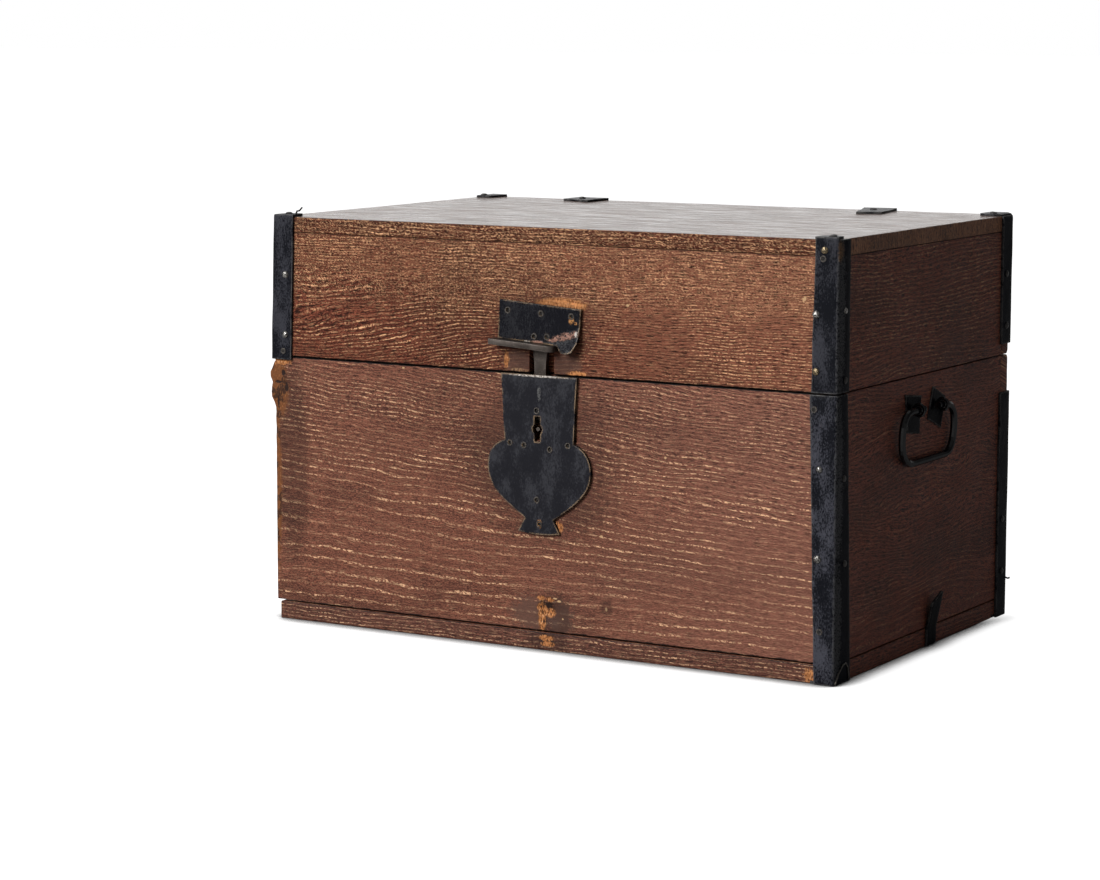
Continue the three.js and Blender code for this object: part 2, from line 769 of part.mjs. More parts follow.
// The bolt: a tail with a talon for the key, and a head that turns back over it to a nose
function boltShape() {
  const tailTop = boltBottom + boltTailHeight;
  const noseTip = tongueX + tongueFootWidth / 2 + boltNoseGap;
  const headLeft = noseTip + boltNoseLength;
  const headRight = headLeft + boltHeadWidth;
  const noseBottom = hookBottom + boltNosePlay;
  const noseTop = hookBottom + tongueHookHeight - boltNosePlay;
  const talonRight = keyX + talonWidth / 2 - boltNoseGap;
  return outline([
    [headRight - boltTailLength, boltBottom, cornerSteps * boltNosePlay],
    [talonRight - talonWidth, boltBottom],
    [talonRight - talonWidth, boltBottom + talonDepth],
    [talonRight, boltBottom + talonDepth],
    [talonRight, boltBottom],
    [headRight, boltBottom],
    [headRight, noseTop],
    [noseTip, noseTop],
    [noseTip, noseBottom],
    [headLeft, noseBottom],
    [headLeft, tailTop],
    [headRight - boltTailLength, tailTop],
  ]);
}

// A staple that holds the bolt to the back of the lock plate
function boltStaple(x0) {
  const low = boltBottom - seatGap;
  const high = boltBottom + boltTailHeight + seatGap;
  const back = boltBack + seatGap;
  return carriedAcross(outline([
    [frontFace, low - boltStapleWall],
    [back + boltStapleWall, low - boltStapleWall, boltStapleWall / 2],
    [back + boltStapleWall, high + boltStapleWall, boltStapleWall / 2],
    [frontFace, high + boltStapleWall],
    [frontFace, high],
    [back, high],
    [back, low],
    [frontFace, low],
  ]), x0, x0 + boltStapleWidth);
}

// A bowed leaf that presses on the bolt's head, on a block behind the plate
function boltSpring() {
  const headTop = hookBottom + tongueHookHeight - boltNosePlay;
  const right = recessWidth / 2 - seatGap;
  const left = tongueX + tongueFootWidth / 2 + 2 * boltNoseGap;
  const blockLeft = right - springAnchor;
  const low = headTop + seatGap;
  const high = low + springSag;
  const lower = new THREE.QuadraticBezierCurve(
    new THREE.Vector2(left, low + springSag / 2),
    new THREE.Vector2(left + boltNoseLength, low - springSag / 2),
    new THREE.Vector2(blockLeft, high),
  ).getPoints(curveSteps);
  const upper = lower.map(({ x, y }) => new THREE.Vector2(x, y + springThick)).reverse();
  const leaf = carriedBack(new THREE.Shape([...lower, ...upper]), boltBack - springWidth, boltBack);
  const anchor = block([blockLeft - springThick, frontFace, high - springSag / 3], [right, boltBack, recessTop - seatGap]);
  return joined(leaf, anchor);
}

function lockWorks() {
  place(bodies.base, 'lock_plate', lockPlate(), blackIron);
  place(bodies.base, 'key_post', keyPost(), bareIron);
  place(bodies.bolt, 'lock_bolt', carriedBack(boltShape(), boltBack - boltThick, boltBack), bareIron);
  const first = -recessWidth / 2 + recessDepth - tongueOffset;
  place(bodies.base, 'bolt_staple_left', boltStaple(first), bareIron);
  place(bodies.base, 'bolt_staple_right', boltStaple(first + boltStaplePitch), bareIron);
  place(bodies.base, 'bolt_spring', boltSpring(), springSteel);
}

// How far the tilted hasp drops at x to the right of its middle
function lipSlope(x) {
  return x * Math.tan(THREE.MathUtils.degToRad(haspTilt));
}

// Turns a piece of the hasp about the middle of the lip, right end down
function tilted(geometry) {
  const turn = THREE.MathUtils.degToRad(haspTilt);
  return geometry.rotateY(turn).translate(0, 0, lipZ);
}

// The tongue: a thumb lip outside, a stem through the lid's notch, and a hooked foot for the bolt
function lockTongue() {
  const foot = tongueFootWidth / 2;
  const waist = tongueWaist / 2;
  const lip = tilted(raised(outline([
    [-lipLeft, frontFace - lipReach],
    [lipRight, frontFace - lipReach, lipRound],
    [lipRight, frontFace - seatGap],
    [tongueX + foot, frontFace - seatGap],
    [tongueX + foot, tongueBack],
    [tongueX - foot, tongueBack],
    [tongueX - foot, frontFace - seatGap],
    [-lipLeft, frontFace - seatGap],
  ]), -lipThick / 2, lipThick / 2));
  const shape = new THREE.Shape();
  const footTop = tongueTip + tongueFootHeight;
  shape.moveTo(-foot, tongueTip);
  shape.lineTo(foot, tongueTip);
  shape.lineTo(foot, hookBottom);
  shape.lineTo(foot - tongueHookDepth, hookBottom);
  shape.lineTo(foot - tongueHookDepth, hookBottom + tongueHookHeight);
  shape.lineTo(foot, hookBottom + tongueHookHeight);
  shape.lineTo(foot, footTop);
  shape.quadraticCurveTo(waist, footTop + seatGap, waist, seamHeight);
  shape.quadraticCurveTo(waist, lipZ - tongueWaist, foot, lipZ - lipThick / 2);
  shape.lineTo(foot, lipZ);
  shape.lineTo(-foot, lipZ);
  shape.lineTo(-foot, lipZ - lipThick / 2);
  shape.quadraticCurveTo(-waist, lipZ - tongueWaist, -waist, seamHeight);
  shape.quadraticCurveTo(-waist, footTop + seatGap, -foot, footTop);
  const stem = new THREE.ExtrudeGeometry(shape, {
    depth: tongueThick, bevelEnabled: false, curveSegments: cornerSteps,
  });
  return joined(lip, stem.rotateX(Math.PI / 2).translate(tongueX, tongueBack, 0));
}

// The lower edge of the hasp plate over the lip: level, then lower past the lip, and rounded at the end
function haspEdge(x) {
  const end = haspWidth / 2;
  if (x < haspDroopFrom) return 0;
  const into = Math.min(1, (x - haspDroopFrom) / (end - haspCornerRound - haspDroopFrom));
  const past = Math.max(0, x - end + haspCornerRound);
  return -haspDroop * Math.min(1, 3 * into) + haspCornerRound - Math.sqrt(haspCornerRound ** 2 - past ** 2);
}

// How far the plate stands forward: its lower right part is bent up along a slanted crease
function haspBend(x, rise) {
  const across = Math.max(0, (x - haspCurlFrom) / (haspWidth / 2 - haspCurlFrom));
  const under = Math.max(0, 1 - rise / (haspCurlHeight * across + seatGap));
  return haspCurl * across * under ** 1.3;
}

// The hasp plate sits on the lip and hangs past its right end in a rounded, bent corner
function haspPlate() {
  const low = lipThick / 2 + seatGap;
  const plate = new THREE.BoxGeometry(haspWidth, plateThick, haspHeight, haspColumns, 1, haspRows);
  const position = plate.attributes.position;
  for (let index = 0; index < position.count; index += 1) {
    const x = position.getX(index);
    const share = position.getZ(index) / haspHeight + 0.5;
    const z = share * haspHeight + (1 - share) * haspEdge(x);
    position.setXYZ(index, x - haspOffset, frontFace - plateThick / 2 + position.getY(index) - haspBend(x, z), low + z);
  }
  return tilted(plate);
}

function hasp() {
  place(bodies.lid, 'lock_tongue', lockTongue(), bareIron);
  place(bodies.lid, 'hasp_plate', haspPlate(), blackIron);
}

// The bail: a bent bar whose ends run inward through the two eyes, and which lies against the board
function bail(side) {
  const eye = eyeSpacing / 2;
  const half = bailWidth / 2;
  const at = (y, z) => new THREE.Vector3(0, handleY + y, z);
  const path = new THREE.CurvePath();
  const line = (from, to) => path.add(new THREE.LineCurve3(from, to));
  const bend = (from, corner, to) => path.add(new THREE.QuadraticBezierCurve3(from, corner, to));
  line(at(-eye + bailTip, 0), at(-half + bailFrontShoulder, 0));
  bend(at(-half + bailFrontShoulder, 0), at(-half, 0), at(-half, -bailFrontShoulder));
  line(at(-half, -bailFrontShoulder), at(-half, -bailFall + bailFrontCorner));
  bend(at(-half, -bailFall + bailFrontCorner), at(-half, -bailFall), at(-half + bailFrontCorner, -bailFall));
  line(at(-half + bailFrontCorner, -bailFall), at(half - bailBackCorner, -bailFall));
  bend(at(half - bailBackCorner, -bailFall), at(half, -bailFall), at(half, -bailFall + bailBackCorner));
  line(at(half, -bailFall + bailBackCorner), at(half, -bailBackShoulder));
  bend(at(half, -bailBackShoulder), at(half, 0), at(half - bailBackShoulder, 0));
  line(at(half - bailBackShoulder, 0), at(eye - bailTip, 0));
  const section = new THREE.Shape(arc(0, 0, bailRadius, 0, 2 * Math.PI, wireSides).slice(0, wireSides));
  const bar = new THREE.ExtrudeGeometry(section, { steps: bailSteps, extrudePath: path, bevelEnabled: false });
  return bar.rotateY(side * THREE.MathUtils.degToRad(bailLean)).translate(side * pivotX, 0, handleZ);
}

function rove(side, shares, y) {
  const corners = shares.map(([across, up]) => [y + across * roveWidth, handleZ + up * roveHeight]);
  const plate = carriedAcross(outline(corners), side * rightFace, side * (rightFace + roveThick));
  const hole = barAcross(
    shankRadius + seatGap, side * (rightFace - overrun), side * (rightFace + overrun), y, handleZ, wireSides,
  );
  return cut(plate, hole);
}

// A split pin: an eye round the bail's end, a shank through the board and ends clinched inside
function eyePin(side, y) {
  const wire = arc(eyeRadius, 0, eyeWireRadius, 0, 2 * Math.PI, wireSides);
  wire[wireSides].copy(wire[0]);
  const eye = new THREE.LatheGeometry(wire, roundSides).translate(side * pivotX, y, handleZ);
  const inside = innerX - seatGap;
  const shank = barAcross(
    shankRadius, side * (pivotX - eyeRadius), side * (inside - clinchThick / 2), y, handleZ, wireSides,
  );
  const clinch = carriedAcross(outline([
    [y - clinchWidth / 2, handleZ - clinchLength / 4],
    [y, handleZ - clinchLength / 2],
    [y + clinchWidth / 2, handleZ - clinchLength / 4],
    [y + clinchWidth / 2, handleZ + clinchLength / 4],
    [y, handleZ + clinchLength / 2],
    [y - clinchWidth / 2, handleZ + clinchLength / 4],
  ]), side * (inside - clinchThick), side * inside);
  return joined(eye, shank, clinch);
}

function handles() {
  [['left', -1], ['right', 1]].forEach(([name, side]) => {
    const frontY = handleY - eyeSpacing / 2;
    const backY = handleY + eyeSpacing / 2;
    place(bodies[`${name}Bail`], `bail_${name}`, bail(side), blackIron);
    place(bodies.base, `rove_${name}_front`, rove(side, squareRoveShares, frontY), blackIron);
    place(bodies.base, `rove_${name}_back`, rove(side, diamondRoveShares, backY), blackIron);
    place(bodies.base, `eye_pin_${name}_front`, eyePin(side, frontY), blackIron);
    place(bodies.base, `eye_pin_${name}_back`, eyePin(side, backY), blackIron);
  });
}

baseBoards();
lidBoards();
partitions();
baseIrons();
lidIrons();
clips();
hinges();
lockWorks();
hasp();
handles();

export default part;
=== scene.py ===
"""The looks of the travel bar case: worn oak boards, painted iron, nails, and a plain studio round it."""
import json
import math
import random

import bmesh
import bpy
from mathutils import Matrix, Vector, noise
from mathutils.bvhtree import BVHTree


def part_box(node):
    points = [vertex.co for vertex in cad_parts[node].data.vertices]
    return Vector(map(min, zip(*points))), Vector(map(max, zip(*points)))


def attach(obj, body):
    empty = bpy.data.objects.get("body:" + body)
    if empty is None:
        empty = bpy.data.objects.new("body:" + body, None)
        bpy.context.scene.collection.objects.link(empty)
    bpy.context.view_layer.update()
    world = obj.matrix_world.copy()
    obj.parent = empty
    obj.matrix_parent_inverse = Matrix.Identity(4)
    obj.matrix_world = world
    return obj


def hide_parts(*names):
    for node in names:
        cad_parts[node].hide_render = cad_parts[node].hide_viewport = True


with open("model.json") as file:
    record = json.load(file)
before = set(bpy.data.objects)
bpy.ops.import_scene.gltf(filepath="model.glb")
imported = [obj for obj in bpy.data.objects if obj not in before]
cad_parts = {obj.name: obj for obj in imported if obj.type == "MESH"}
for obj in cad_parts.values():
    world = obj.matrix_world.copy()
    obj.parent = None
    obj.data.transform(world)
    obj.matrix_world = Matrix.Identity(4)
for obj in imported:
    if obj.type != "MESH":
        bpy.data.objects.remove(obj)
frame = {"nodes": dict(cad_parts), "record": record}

MM = 0.001

# noise_vector takes its offsets from this seed, so every run bends the irons alike
noise.seed_set(1)

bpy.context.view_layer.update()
nodes = frame["nodes"]

# Sizes read from the frame
base_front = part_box("base_front_board")
lid_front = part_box("lid_front_board")
lid_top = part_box("lid_top_board")
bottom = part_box("bottom_board")
RIGHT_FACE = bottom[1].x
FRONT_FACE = bottom[0].y
BACK_FACE = bottom[1].y
LID_TOP = lid_top[1].z
BOTTOM_TOP = base_front[0].z
SEAM = (base_front[1].z + lid_front[0].z) / 2


# Node graphs

class Current:
    """The node tree that the functions below add to."""
    tree = None


def start_tree(tree):
    Current.tree = tree
    tree.nodes.clear()


def node(kind, inputs=None, **settings):
    """A shader node with its settings and its inputs, each a value, a colour or another node's socket."""
    made = Current.tree.nodes.new(kind)
    for key, value in settings.items():
        setattr(made, key, value)
    for key, value in (inputs or {}).items():
        if isinstance(value, bpy.types.NodeSocket):
            Current.tree.links.new(value, made.inputs[key])
        elif made.inputs[key].type == "RGBA":
            made.inputs[key].default_value = (*value, 1)
        else:
            made.inputs[key].default_value = value
    return made


def calc(operation, first, second=0, third=0):
    made = node("ShaderNodeMath", {0: first, 1: second, 2: third}, operation=operation)
    return made.outputs[0]


def times(first, second):
    return calc("MULTIPLY", first, second)


def minus(first, second):
    return calc("SUBTRACT", first, second)


def madd(first, second, third):
    """The product of the first two, plus the third."""
    return calc("MULTIPLY_ADD", first, second, third)


def vector_calc(operation, first, second=(0, 0, 0)):
    made = node("ShaderNodeVectorMath", {0: first, 1: second}, operation=operation)
    return made.outputs["Value" if operation in ("LENGTH", "DOT_PRODUCT") else "Vector"]


def parts_of(vector):
    return node("ShaderNodeSeparateXYZ", {0: vector}).outputs


def normal_parts():
    return parts_of(node("ShaderNodeNewGeometry").outputs["Normal"])


def step(value, low, high):
    """0 below low, 1 above high, and smooth between; low may be the larger."""
    limits = {"Value": value, "From Min": low, "From Max": high}
    return node("ShaderNodeMapRange", limits, interpolation_type="SMOOTHSTEP").outputs[0]


def blend(factor, first, second):
    made = node("ShaderNodeMix", {0: factor, 6: first, 7: second}, data_type="RGBA")
    return made.outputs[2]


def shade(color, amount):
    return [c * amount for c in color]


def pack(x, y, z):
    return node("ShaderNodeCombineXYZ", {0: x, 1: y, 2: z}).outputs[0]


def clouds(vector, scale=1, detail=2, rough=0.5, warp=0):
    inputs = {"Vector": vector, "Scale": scale, "Detail": detail, "Roughness": rough, "Distortion": warp}
    return node("ShaderNodeTexNoise", inputs).outputs["Fac"]


def streaks(along, length, across, width, seed, detail=2, rough=0.5):
    """Clouds drawn out along the grain: length long and width wide."""
    place = pack(calc("DIVIDE", along, length), calc("DIVIDE", across, width), seed)
    return clouds(place, 1, detail, rough)


def millimetres():
    """The surface point in the frame, in millimetres, as a vector and as its three parts."""
    spot = node("ShaderNodeTexCoord").outputs["Object"]
    scaled = node("ShaderNodeVectorMath", {0: spot, "Scale": 1 / MM}, operation="SCALE").outputs[0]
    return (scaled, *parts_of(scaled))


def patch(vector, centre, radii, ragged):
    """1 inside a ragged ellipsoid, 0 outside; centre and radii in millimetres."""
    moved = vector_calc("SUBTRACT", vector, centre)
    reach = vector_calc("LENGTH", vector_calc("DIVIDE", moved, radii))
    tear = madd(clouds(vector, 0.22, 3, 0.6), ragged, reach)
    nick = minus(clouds(vector, 0.7, 3, 0.7), 0.5)
    tear = madd(nick, ragged, tear)
    return step(minus(tear, ragged / 2), 1.25, 0.75)


def strongest(masks):
    total = masks[0]
    for mask in masks[1:]:
        total = calc("MAXIMUM", total, mask)
    return total


def new_material(name):
    """A material whose empty node tree is the current one."""
    material = bpy.data.materials.new(name)
    material.use_nodes = True
    start_tree(material.node_tree)
    return material


def surface(color, rough, height, bump=0.3, distance=MM, **fixed):
    """A principled surface with a bump, linked to the material's output."""
    relief = node("ShaderNodeBump", {"Strength": bump, "Distance": distance, "Height": height})
    shader = node(
        "ShaderNodeBsdfPrincipled",
        {"Base Color": color, "Roughness": rough, "Normal": relief.outputs[0], **fixed},
    )
    node("ShaderNodeOutputMaterial", {0: shader.outputs[0]})


def edge_nearness(radius):
    """How much a rounded normal differs from the surface's own, which is large along its edges."""
    rounded = node("ShaderNodeBevel", {"Radius": radius}, samples=4).outputs[0]
    plain = node("ShaderNodeNewGeometry").outputs["Normal"]
    return minus(1, vector_calc("DOT_PRODUCT", rounded, plain))


# Oak, open grained, with pale filler left in the pores

def oak(name, axes, seed, tones, filler, wave, ring_width=3, lean=None, marks=(), gloss=0.55,
        coat=0, relief=0.4, specular=0.2, flecks_above=None, open_below=None, sheen=None, joints=(),
        bead=(2.7, 0.8)):
    """Oak whose grain runs along the first of axes and is stacked across the second.

    tones are the dark, the middle and the light wood, and filler is the pale filler's colour and amount.
    wave is how far the grain wanders, in millimetres. lean is how far it slopes, the heights from which
    and to which it comes to slope so, and where along the board it levels out.
    sheen is the stretch along the grain over which a painted sheen of light pales the colour towards the
    right, the paler colour and its amount.
    joints are the heights where the wood is darkened to near black along the joints, each with the
    dark band's half width and how dark it is. bead is the length and the width of a fleck of filler.
    """
    material = new_material(name)
    spot, *parts = millimetres()
    along, across, deep = (parts["xyz".index(axis)] for axis in axes)
    drift = wandering(along, across, deep, seed, wave, lean)
    lines, slits, rings = grain_lines(along, across, drift, seed, ring_width, filler[1], open_below, bead)
    if flecks_above is not None:
        lines = strongest([lines, flecked(along, across, drift, seed, flecks_above, bead)])
    color, streak = ground_color(along, across, drift, seed, tones)
    if sheen:
        color = painted_sheen(along, across, seed, sheen, color)
    color = blend(times(slits, 0.92), color, tones[0])
    tint = streaks(along, 11, drift, 2.2, seed + 4)
    pale = blend(step(tint, 0.38, 0.62), shade(filler[0], 0.4), filler[0])
    color = blend(lines, color, pale)

    height = madd(lines, 0.35, times(rings, 0.4))
    height = madd(slits, -0.9, height)
    rough = madd(clouds(spot, 0.05, 3), 0.18, gloss - 0.09)
    rough = madd(lines, 0.1, rough)
    for mark in marks:
        color, rough, height = marked(spot, mark, streak, color, rough, height)
    color = worn_edges(spot, tones[1], color)
    color = darkened_joints(spot, parts, joints, color)
    finish = top_coat(along, drift, seed, coat)
    surface(color, rough, height, relief, 0.35 * MM, **{"Specular IOR Level": specular}, **finish)
    return material


# Painted light: the colour paled over a stretch along the board, brighter towards the right, standing in
# for the varnish's sheen and the brighter light there
def painted_sheen(along, across, seed, sheen, color):
    low, high, pale, amount = sheen
    haze = streaks(along, 70, across, 40, seed + 41, 3)
    reach = step(madd(haze, 120, minus(along, 60)), low, high)
    return blend(times(reach, amount), color, pale)


def worn_edges(spot, tone, color):
    """The colour, rubbed to a lighter tone along the board's edges."""
    wear = step(edge_nearness(1.6 * MM), 0.04, 0.3)
    wear = times(wear, clouds(spot, 0.09, 4, 0.65))
    return blend(times(wear, 0.55), color, shade(tone, 1.7))


def darkened_joints(spot, parts, joints, color):
    """The colour, darkened to near black along the joints, though not across the rims inside the case."""
    inward_x = minus(RIGHT_FACE / MM, calc("ABSOLUTE", parts[0]))
    inward_y = minus(BACK_FACE / MM, calc("ABSOLUTE", parts[1]))
    shallow = step(calc("MINIMUM", inward_x, inward_y), 4.5, 2)
    level = calc("ABSOLUTE", normal_parts()[2])
    upright = strongest([shallow, step(level, 0.95, 0.8)])
    for joint, reach, amount in joints:
        uneven = madd(clouds(spot, 0.16, 3, 0.6), -1.1 * reach, 0.55 * reach)
        away = calc("ADD", calc("ABSOLUTE", minus(parts[2], joint / MM)), uneven)
        filled = times(step(away, reach, 0.45 * reach), times(upright, amount))
        color = blend(filled, color, JOINT_BLACK)
    return color


def top_coat(along, drift, seed, coat):
    """The inputs of a varnish that has dulled in streaks."""
    if not coat:
        return {}
    haze = streaks(along, 60, drift, 5, seed + 33, 4, 0.65)
    dulled = streaks(along, 34, drift, 2.2, seed + 35, 4, 0.65)
    return {
        "Coat Weight": madd(step(dulled, 0.46, 0.58), -0.5 * coat, coat),
        "Coat Roughness": madd(step(haze, 0.38, 0.6), 0.34, 0.08),
        "Coat Tint": (1, 0.965, 0.94),
    }


def wandering(along, across, deep, seed, wave, lean):
    """The place across the grain, bent as the rings are."""
    broad = streaks(along, 150, across, 62, seed)
    fine = streaks(along, 30, across, 24, seed + 7.3)
    drift = madd(minus(broad, 0.5), wave, across)
    drift = madd(minus(fine, 0.5), 4.6, drift)
    if lean:
        slope, level, sloping, until = lean
        slope = times(step(across, level, sloping), slope)
        drift = madd(calc("MINIMUM", along, until), slope, drift)
    return madd(deep, 0.35, drift)


def spreading(drift, open_below):
    """The place across the grain once the rings spread below a height, and how far they have spread.

    open_below is that height, how slowly they spread, and how far below it they spread no more.
    """
    if not open_below:
        return drift, times(drift, 0)
    start, slowness, fully = open_below
    under = calc("MAXIMUM", minus(start, drift), 0)
    held = calc("MINIMUM", under, fully)
    spread = calc("DIVIDE", held, slowness)
    bend = minus(under, times(held, 0.5))
    return madd(bend, spread, drift), spread


def ring_waves(along, drift, place, spread, seed, ring_width):
    close = minus(1, spread)
    crowd = streaks(along, 260, drift, 15, seed + 2.2)
    shaken = streaks(along, 26, drift, 4, seed + 12.6)
    turns = times(place, 2 * math.pi / ring_width)
    turns = madd(times(crowd, close), 14, turns)
    turns = madd(times(shaken, close), 5, turns)
    return madd(calc("SINE", turns), 0.5, 0.5)


def grain_lines(along, across, drift, seed, ring_width, amount, open_below, bead):
    """The beaded pale lines, the dark slits between them, and the rings that both follow."""
    place, spread = spreading(drift, open_below)
    rings = ring_waves(along, drift, place, spread, seed, ring_width)
    skew = madd(along, 0.16, drift)
    beads = streaks(along, 1.15 * bead[0], skew, 2.6 * bead[1], seed, 2, 0.6)
    fibre = streaks(along, 13, drift, bead[1], seed + 11, 2, 0.6)
    zone = streaks(along, 70, across, 24, seed + 1.7, 3)
    low = madd(spread, 0.26, 1)
    high = madd(spread, 0.02, 1.26)
    ridge = step(madd(fibre, 0.6, rings), low, high)
    lines = times(ridge, step(beads, 0.48, 0.54))
    lines = times(lines, madd(step(zone, 0.38, 0.6), 0.75, 0.25))
    thin = times(step(fibre, 0.57, 0.66), 0.3)
    lines = times(strongest([lines, thin]), amount)
    if open_below:
        lines = times(lines, calc("MINIMUM", madd(spread, 1.1, 0.58), 1))
    gaps = streaks(along, 7, drift, 0.5, seed + 15, 2, 0.6)
    slits = times(step(gaps, 0.49, 0.55), madd(ridge, -0.8, 1))
    slits = times(slits, madd(spread, -0.6, 1))
    return lines, slits, rings


def flecked(along, across, drift, seed, start, bead):
    """Short pale flecks that crowd the wood above a height across the grain."""
    skew = madd(along, 0.3, drift)
    field = streaks(along, bead[0], skew, bead[1], seed + 3.1, 2, 0.6)
    edge = streaks(along, 40, across, 16, seed + 6.4)
    place = madd(edge, 40, across)
    where = step(place, start + 6, start + 42)
    return times(step(field, 0.575, 0.62), times(where, 0.9))


def ground_color(along, across, drift, seed, tones):
    """The stained wood under the filler, streaked and clouded."""
    dark, middle, light = tones
    streak = streaks(along, 46, drift, 2.4, seed + 5, 3, 0.6)
    cloud = streaks(along, 120, across, 50, seed + 9, 3)
    color = blend(step(streak, 0.34, 0.66), middle, light)
    color = blend(times(step(cloud, 0.56, 0.3), 0.6), color, dark)
    speck = streaks(along, 1.9, drift, 0.45, seed + 21, 2, 0.7)
    color = blend(times(step(speck, 0.5, 0.6), 0.6), color, shade(light, 1.8))
    color = blend(times(step(speck, 0.48, 0.4), 0.66), color, dark)
    return color, streak


BARE_WOOD = (0.74, 0.31, 0.11)
BARE_DARK = (0.2, 0.062, 0.02)
RAW_WOOD = (0.56, 0.22, 0.075)
FRESH_SPLINTER_AND_HIGHLIGHT = (0.85, 0.52, 0.29)
OLD_SPLIT = (0.16, 0.06, 0.022)
BROKEN_WOOD = (0.17, 0.06, 0.02)
BROKEN_DARK = (0.05, 0.019, 0.009)
# Dark brown for dirt stains, and for the painted shade inside holes
DIRT_AND_HOLE_SHADE = (0.024, 0.011, 0.008)
SMOOTH_BROWN = (0.115, 0.058, 0.042)
JOINT_BLACK = (0.004, 0.003, 0.003)

# Each kind of mark: its colour, or None where split wood shows, how strongly it covers, what it adds to
# the roughness and to the height, and the levels between which splinters tear it
MARKS = {
    "bare": (None, 0.95, 0, -1.2, None),
    "raw": (None, 0.95, 0.3, -1.6, (0.34, 0.44)),
    "broken": (None, 1, 0, -9, None),
    "stain": (DIRT_AND_HOLE_SHADE, 0.45, 0, 0, None),
    "smooth": (SMOOTH_BROWN, 0.8, -0.12, 0, None),
    # A hole mark paints the shade inside a hole in the dark colour, with a dip in the bump
    "hole": (DIRT_AND_HOLE_SHADE, 1, 0, -3, None),
    "speck": ((0.6, 0.38, 0.2), 0.9, 0, 0, None),
    "pale": ((0.42, 0.25, 0.13), 0.85, 0, 0, (0.42, 0.56)),
}


def split_wood(kind, splinters, facets, streak):
    """The colour of wood that is bare, torn raw or broken off."""
    if kind == "broken":
        wood = blend(step(facets, 0.44, 0.5), BROKEN_DARK, BROKEN_WOOD)
        return blend(times(step(splinters, 0.52, 0.66), 0.4), wood, RAW_WOOD)
    if kind == "bare":
        grain = calc("ADD", splinters, times(streak, 0.6))
        wood = blend(step(grain, 0.66, 0.84), BARE_DARK, BARE_WOOD)
    else:
        wood = blend(step(splinters, 0.42, 0.54), OLD_SPLIT, RAW_WOOD)
    # The splinters' tops take a pale colour that is partly fresh wood and partly a painted highlight
    return blend(step(splinters, 0.58, 0.68), wood, FRESH_SPLINTER_AND_HIGHLIGHT)


def marked(spot, mark, streak, color, rough, height):
    """The colour, the roughness and the height of a front board, changed by one mark on it.

    A mark is its kind, x and z, its three radii and how ragged it is.
    """
    kind, x, z, radii, ragged = mark
    shown, amount, roughened, raised, torn = MARKS[kind]
    mask = patch(spot, (x, FACE, z), radii, ragged)
    splinters = clouds(vector_calc("MULTIPLY", spot, (1, 1, 0.32)), 0.95, 3, 0.65)
    facets = clouds(spot, 0.1, 2, 0.4)
    if torn:
        mask = times(mask, step(splinters, *torn))
    shown = shown or split_wood(kind, splinters, facets, streak)
    color = blend(times(mask, amount), color, shown)
    if roughened:
        rough = madd(mask, roughened, rough)
    if kind == "broken":
        mask = times(mask, facets)
    if raised:
        height = madd(mask, raised, height)
    return color, rough, height


# Iron: worn black paint over forged sheet, or bare metal browned by hands

DUST = (0.039, 0.0395, 0.05)
SCUFFED = (0.11, 0.11, 0.115)
RUST = (0.06, 0.035, 0.024)


def painted_iron(name, seed, tone=(0.0035, 0.004, 0.007), edge_rub_and_glint=(0.2, 0.19, 0.18), gloss=0.3,
                 specular=0.14, dust=1, scrapes=(), edge_rub_and_glint_amount=0.7, relief=0.6):
    """Black paint, glossy in ragged pools and dull with dust between them, rubbed along its edges to a
    lighter colour that is partly wear and partly a painted highlight. The dust and most of the specular
    are kept to faces turned to the key light, so faces turned from it are darker: painted shade.

    scrapes are places worn through the paint, some of them painted highlights and glints: each a centre,
    its radii, how ragged it is and its colour.
    """
    material = new_material(name)
    spot, *_ = millimetres()
    away = vector_calc("ADD", spot, (seed, 0, seed))
    tall = vector_calc("MULTIPLY", away, (1, 1, 0.5))
    mottled = clouds(tall, 0.07, 3, 0.6)
    fine = clouds(tall, 0.95, 4, 0.76)
    scuffs = step(clouds(away, 0.34, 5, 0.75, 0.6), 0.63, 0.72)
    # lit is 1 on faces turned to the key light and near 0 on faces turned from it; the dust colour is kept
    # to those faces, which paints the others darker as painted shade
    lit = step(normal_parts()[1], -0.1, -0.8)
    pools = step(madd(mottled, 0.8, fine), 0.84, 1.08)
    pools = times(pools, madd(lit, 0.9, 0.1))
    color = blend(pools, tone, shade(DUST, dust))
    color = blend(times(scuffs, 0.22), color, SCUFFED)
    color = rubbed(away, edge_rub_and_glint, edge_rub_and_glint_amount, color)
    rough = madd(pools, 0.2, gloss - 0.05)
    rough = madd(scuffs, 0.12, rough)
    dents = clouds(away, 0.035, 2, 0.5)
    height = madd(fine, 0.4, times(dents, 3))
    height = calc("ADD", mottled, height)
    torn = step(clouds(spot, 0.8, 3, 0.7), 0.4, 0.52)
    for centre, radii, ragged, bare in scrapes:
        mask = times(patch(spot, centre, radii, ragged), torn)
        color = blend(mask, color, bare)
        rough = madd(mask, 0.1, rough)
        height = madd(mask, 1.5, height)
    # Painted shade: the specular drops to a tenth on faces turned from the key light
    shine = madd(lit, 0.9 * specular, 0.1 * specular)
    surface(color, rough, height, relief, 0.5 * MM, **{"Specular IOR Level": shine})
    return material


def rubbed(away, edge_rub_and_glint, amount, color):
    """The colour, rubbed through along the edges, where the lighter colour is partly wear and partly a
    painted highlight of the light the edges catch, and rusty in spots.
    """
    edge = step(edge_nearness(2.2 * MM), 0.015, 0.1)
    rubs_and_glints = times(edge, step(clouds(away, 0.12, 4, 0.7), 0.36, 0.58))
    color = blend(times(rubs_and_glints, amount), color, edge_rub_and_glint)
    rust = step(clouds(away, 0.12, 5, 0.7), 0.68, 0.76)
    return blend(times(rust, 0.3), color, RUST)


